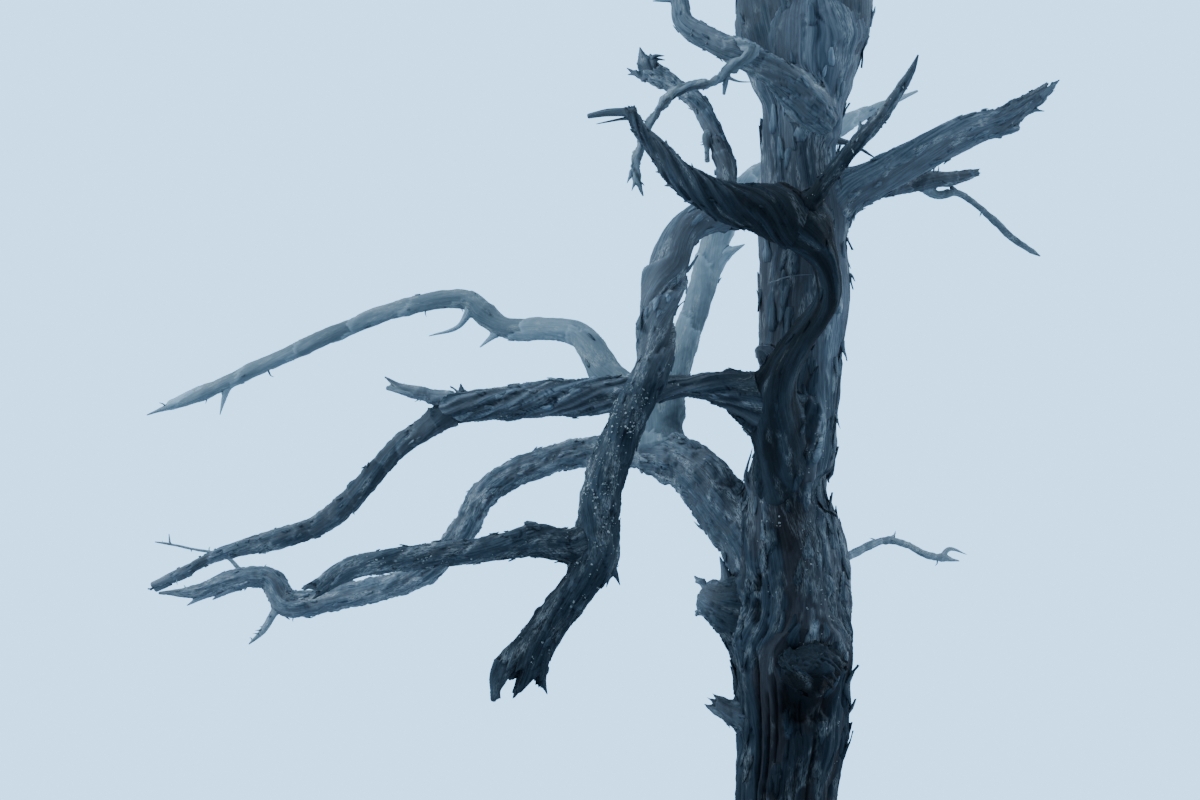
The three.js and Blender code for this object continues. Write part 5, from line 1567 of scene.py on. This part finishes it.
foot_end = FOOT_TOP - FOOT_OVERLAP
skins["trunk"] = trunk_skin(foot_end, TRUNK_TOP, SPACING, joints["trunk"], NEVER_SUNK)
skins["foot"] = trunk_skin(0, FOOT_TOP, FOOT_SPACING, joints["trunk"], foot_end)
trunk_snags = snag_skins("trunk", "torn", (0.9, 1.1))
piece("trunk_bark", joined([skins["trunk"], *trunk_snags]), "trunk", "bark", ["trunk"])
piece("trunk_foot_bark", skins["foot"], "trunk", "bark", ["trunk"])

# Loose strips: how many a limb has, and the length, width and lift of the largest
STRIPS = {
    "trunk": (270, 0.22, 0.09, 0.02), "low_bough": (140, 0.08, 0.05, 0.024),
    "left_bough": (80, 0.1, 0.045, 0.02), "left_bough_lower_arm": (70, 0.08, 0.04, 0.022),
    "bent_bough": (70, 0.12, 0.05, 0.016), "bent_bough_left_arm": (60, 0.08, 0.045, 0.02),
    "upright_bough": (40, 0.06, 0.03, 0.014), "right_bough": (60, 0.12, 0.045, 0.016),
    "right_low_bough": (20, 0.07, 0.03, 0.016), "crossing_bough": (50, 0.09, 0.04, 0.016),
    "short_bough": (40, 0.07, 0.035, 0.018), "far_bough": (10, 0.12, 0.05, 0.016),
    "pale_bough": (14, 0.1, 0.04, 0.016), "front_stem": (20, 0.14, 0.04, 0.012),
    "twisted_bough": (60, 0.08, 0.03, 0.022), "left_stub": (20, 0.1, 0.04, 0.03),
    "lower_left_stub": (14, 0.09, 0.035, 0.025),
    "left_leader": (70, 0.18, 0.06, 0.024), "right_leader": (60, 0.18, 0.06, 0.024),
    "back_bough": (50, 0.12, 0.045, 0.02), "high_back_bough": (50, 0.12, 0.045, 0.02),
    "crown_left_bough": (40, 0.1, 0.04, 0.02), "crown_right_bough": (40, 0.1, 0.04, 0.02),
    "crown_front_bough": (26, 0.1, 0.04, 0.02), "crown_back_bough": (20, 0.1, 0.04, 0.02),
    "crown_right_front_bough": (24, 0.1, 0.04, 0.02), "foot": (90, 0.3, 0.07, 0.028),
}

# Flaps that stand out plainly: across, up, length, width, lift and way along the grain
FLAPS = {
    "trunk": [
        (0.435, 8.34, 0.09, 0.09, 0.03, -1), (0.44, 8.09, 0.06, 0.06, 0.035, -1),
        (0.37, 7.62, 0.14, 0.08, 0.035, -1), (0.33, 7.1, 0.11, 0.06, 0.05, -1),
        (0.31, 6.95, 0.12, 0.05, 0.03, 1), (0.34, 6.38, 0.2, 0.1, 0.035, 1),
        (0.37, 5.98, 0.09, 0.06, 0.045, -1), (0.39, 5.2, 0.16, 0.06, 0.04, 1),
        (0.4, 4.98, 0.14, 0.05, 0.05, 1), (0.38, 4.72, 0.16, 0.05, 0.04, 1),
        (-0.2, 8.5, 0.14, 0.04, 0.03, -1), (-0.2, 7.6, 0.12, 0.04, 0.04, -1),
    ],
    "bent_bough": [
        (-0.71, 8.09, 0.15, 0.1, 0.05, -1), (-0.78, 7.78, 0.16, 0.1, 0.035, -1),
        (-1.02, 7.85, 0.18, 0.08, 0.02, 1), (-1.24, 5.95, 0.08, 0.05, 0.03, 1),
    ],
    "left_bough": [
        (-2.3, 7.27, 0.09, 0.06, 0.04, 1), (-1.6, 7.33, 0.1, 0.05, 0.03, 1),
        (-0.97, 7.3, 0.09, 0.05, 0.03, 1),
    ],
    "bent_bough_left_arm": [(-1.75, 6.31, 0.1, 0.07, 0.035, 1), (-1.88, 6.28, 0.09, 0.06, 0.035, 1)],
    "right_bough": [(0.98, 8.85, 0.1, 0.04, 0.03, 1)],
}

# Lichen: limb, how many crusts, the stretch of its length, size, and the stretch of the way round
LICHEN = [
    ("bent_bough", 380, 0.49, 0.68, 0.008, (0.5, 1.0)),
    ("bent_bough", 120, 0.66, 0.8, 0.009, (0.4, 1.0)),
    ("bent_bough", 90, 0.78, 0.97, 0.009, (0.0, 1.0)),
    ("bent_bough", 30, 0.1, 0.47, 0.006, (0.0, 1.0)),
    ("bent_bough_left_arm", 110, 0.1, 0.8, 0.007, (0.0, 1.0)),
    ("trunk", 60, 0.25, 0.5, 0.007, (0.62, 0.7)),
    ("trunk", 90, 0.18, 0.5, 0.007, (0.78, 0.9)),
    ("trunk", 120, 0.0, 1.0, 0.008, (0.0, 1.0)),
    ("left_bough", 80, 0.3, 0.95, 0.007, (0.0, 1.0)),
    ("upright_bough", 50, 0.1, 0.8, 0.006, (0.0, 1.0)),
    ("right_bough", 50, 0.1, 0.9, 0.007, (0.0, 1.0)),
    ("low_bough", 120, 0.05, 0.5, 0.008, (0.0, 1.0)),
]

# Fine side twigs: how many a limb has, and the length of the longest
SPURS = {
    "right_twig": (4, 0.06), "right_low_twig": (3, 0.05), "crossing_bough_twig": (6, 0.06),
    "short_bough_twig": (5, 0.04), "low_bough_hanging_twig": (6, 0.05), "low_bough_fine_twig": (6, 0.05),
    "left_bough_tip": (6, 0.05), "left_bough_lower_arm": (8, 0.05), "low_bough": (12, 0.06),
    "upright_bough": (8, 0.05), "pale_bough": (10, 0.07), "far_bough": (6, 0.07),
    "right_low_bough": (6, 0.05), "crossing_bough": (5, 0.06), "short_bough": (5, 0.05),
    "back_bough": (12, 0.14), "back_bough_fork": (12, 0.14), "high_back_bough": (12, 0.16),
    "high_back_fork": (10, 0.14), "crown_left_bough": (14, 0.18), "crown_front_bough": (14, 0.18),
    "crown_back_bough": (12, 0.16), "crown_right_bough": (14, 0.18), "crown_right_front_bough": (12, 0.16),
    "left_leader": (10, 0.16), "right_leader": (8, 0.16),
}


def spurs(name, count, longest, seed):
    """Fine twigs by the rule of the larger ones: each leaves its limb aslant and bends towards the tip."""
    line = LINES[name]
    random = np.random.default_rng(seed)
    made = []
    for number in range(count):
        row = int(random.uniform(*SPUR_STRETCH) * (len(line.run) - 1))
        turn = random.uniform(0, 2 * math.pi)
        aside = math.cos(turn) * line.side[row] + math.sin(turn) * line.other[row]
        radius = line.radius[row]
        length = longest * random.uniform(*SPUR_LENGTHS)
        root = line.middle[row] + SPUR_SUNK * radius * aside
        first_way = unit(aside + random.uniform(*SPUR_LEAN) * line.tangent[row])
        last_way = unit(first_way + random.normal(0, SPUR_BEND, 3))
        knee = root + (SPUR_OUT * radius + 0.5 * length) * first_way
        spots = np.array([root, knee, knee + 0.5 * length * last_way])
        thickest = min(THICKEST_SPUR * radius, SPUR_THICKNESS * length + SPUR_THICKER)
        across, up, reach = sighted(spots)
        widths = 2 * thickest * np.array(SPUR_WIDTHS) / reach
        knots = np.stack([across, up, spots[:, 1], widths], axis=1)
        fine = spine(f"{name}_spur_{number}", knots, FINE_SPACING)
        made.append(tube_skin(fine, "tip", "dry", (1.0, 1.1), [], FINE_SPACING))
    return made


def dressings():
    """The loose strips, the lichen and the fine twigs, joined into one piece each."""
    loose = []
    for number, (name, sizes) in enumerate(STRIPS.items()):
        loose += strips(skins[name], *sizes, FOOT_SEED if name == "foot" else STRIP_SEED + number)
    random = np.random.default_rng(FLAP_SEED)
    for name, flaps in FLAPS.items():
        for across, up, *sizes, way in flaps:
            loose.append(strip(skins[name], *seen_at(skins[name], across, up), *sizes, way, random))
    piece("loose_bark_strips", joined(loose), "bark", "bark")
    crusted = []
    for number, (name, *places) in enumerate(LICHEN):
        crusted += crusts(skins[name], *places, LICHEN_SEED + number)
    piece("lichen_crusts", joined(crusted), "lichen", "weathered_bark")
    fine = []
    for number, (name, sizes) in enumerate(SPURS.items()):
        fine += spurs(name, *sizes, SPUR_SEED + number)
    piece("fine_twigs", joined(fine), "twigs", "twigs")


dressings()


# Floor, light and camera

def area_light(name, place, size, power, colour):
    lamp = bpy.data.lights.new(name, "AREA")
    lamp.shape = "DISK"
    lamp.size = size
    lamp.energy = power
    lamp.color = colour
    made = bpy.data.objects.new(name, lamp)
    made.location = place
    made.rotation_euler = (Vector(LIGHT_AIM) - Vector(place)).to_track_quat("-Z", "Y").to_euler()
    bpy.context.collection.objects.link(made)


def floor():
    bpy.ops.mesh.primitive_circle_add(vertices=128, radius=FLOOR_RADIUS, fill_type="NGON")
    made = bpy.context.object
    made.name = "floor"
    made.location.z = -FLOOR_DROP
    made.data.materials.append(plain_material("floor_paint", FLOOR_COLOUR, roughness=0.9, unevenness=0.06))


def world():
    """A plain pale sky. Its light is strongest from above and behind, as under bright mist."""
    made = bpy.data.worlds.new("pale_sky")
    made.use_nodes = True
    tree = made.node_tree
    light = tree.nodes["Background"]
    place = node(tree, "ShaderNodeTexCoord").outputs["Generated"]
    direction = node(tree, "ShaderNodeSeparateXYZ", {0: place}).outputs
    above = arithmetic(tree, "MULTIPLY", direction["Z"], 0.75)
    behind = arithmetic(tree, "MULTIPLY", direction["Y"], 0.45)
    strength = ranged(tree, arithmetic(tree, "ADD", above, behind), -0.7, 0.8, SKY_EVENNESS, 1.25)
    feed(tree, light.inputs["Color"], SKY_LIGHT)
    feed(tree, light.inputs["Strength"], strength)
    seen = node(tree, "ShaderNodeBackground", {"Color": SKY_SEEN})
    in_view = node(tree, "ShaderNodeLightPath").outputs["Is Camera Ray"]
    either = node(tree, "ShaderNodeMixShader", {0: in_view, 1: light.outputs[0], 2: seen.outputs[0]})
    feed(tree, tree.nodes["World Output"].inputs["Surface"], either.outputs[0])
    bpy.context.scene.world = made


def camera():
    eye = bpy.data.cameras.new("camera")
    eye.sensor_width = SENSOR_MM
    eye.lens = SENSOR_MM * EYE_DISTANCE / VIEW_WIDTH
    eye.clip_end = FURTHEST_SEEN
    made = bpy.data.objects.new("camera", eye)
    made.location = (EYE_ACROSS, -EYE_DISTANCE, EYE_UP)
    made.rotation_euler = (math.pi / 2, 0, 0)
    bpy.context.collection.objects.link(made)
    bpy.context.scene.camera = made


floor()
world()
area_light("left_light", place=(-22, -6, 20), size=12, power=5200, colour=(0.93, 0.97, 1.0))
area_light("right_light", place=(18, 8, 16), size=10, power=2600, colour=(0.9, 0.96, 1.0))
camera()
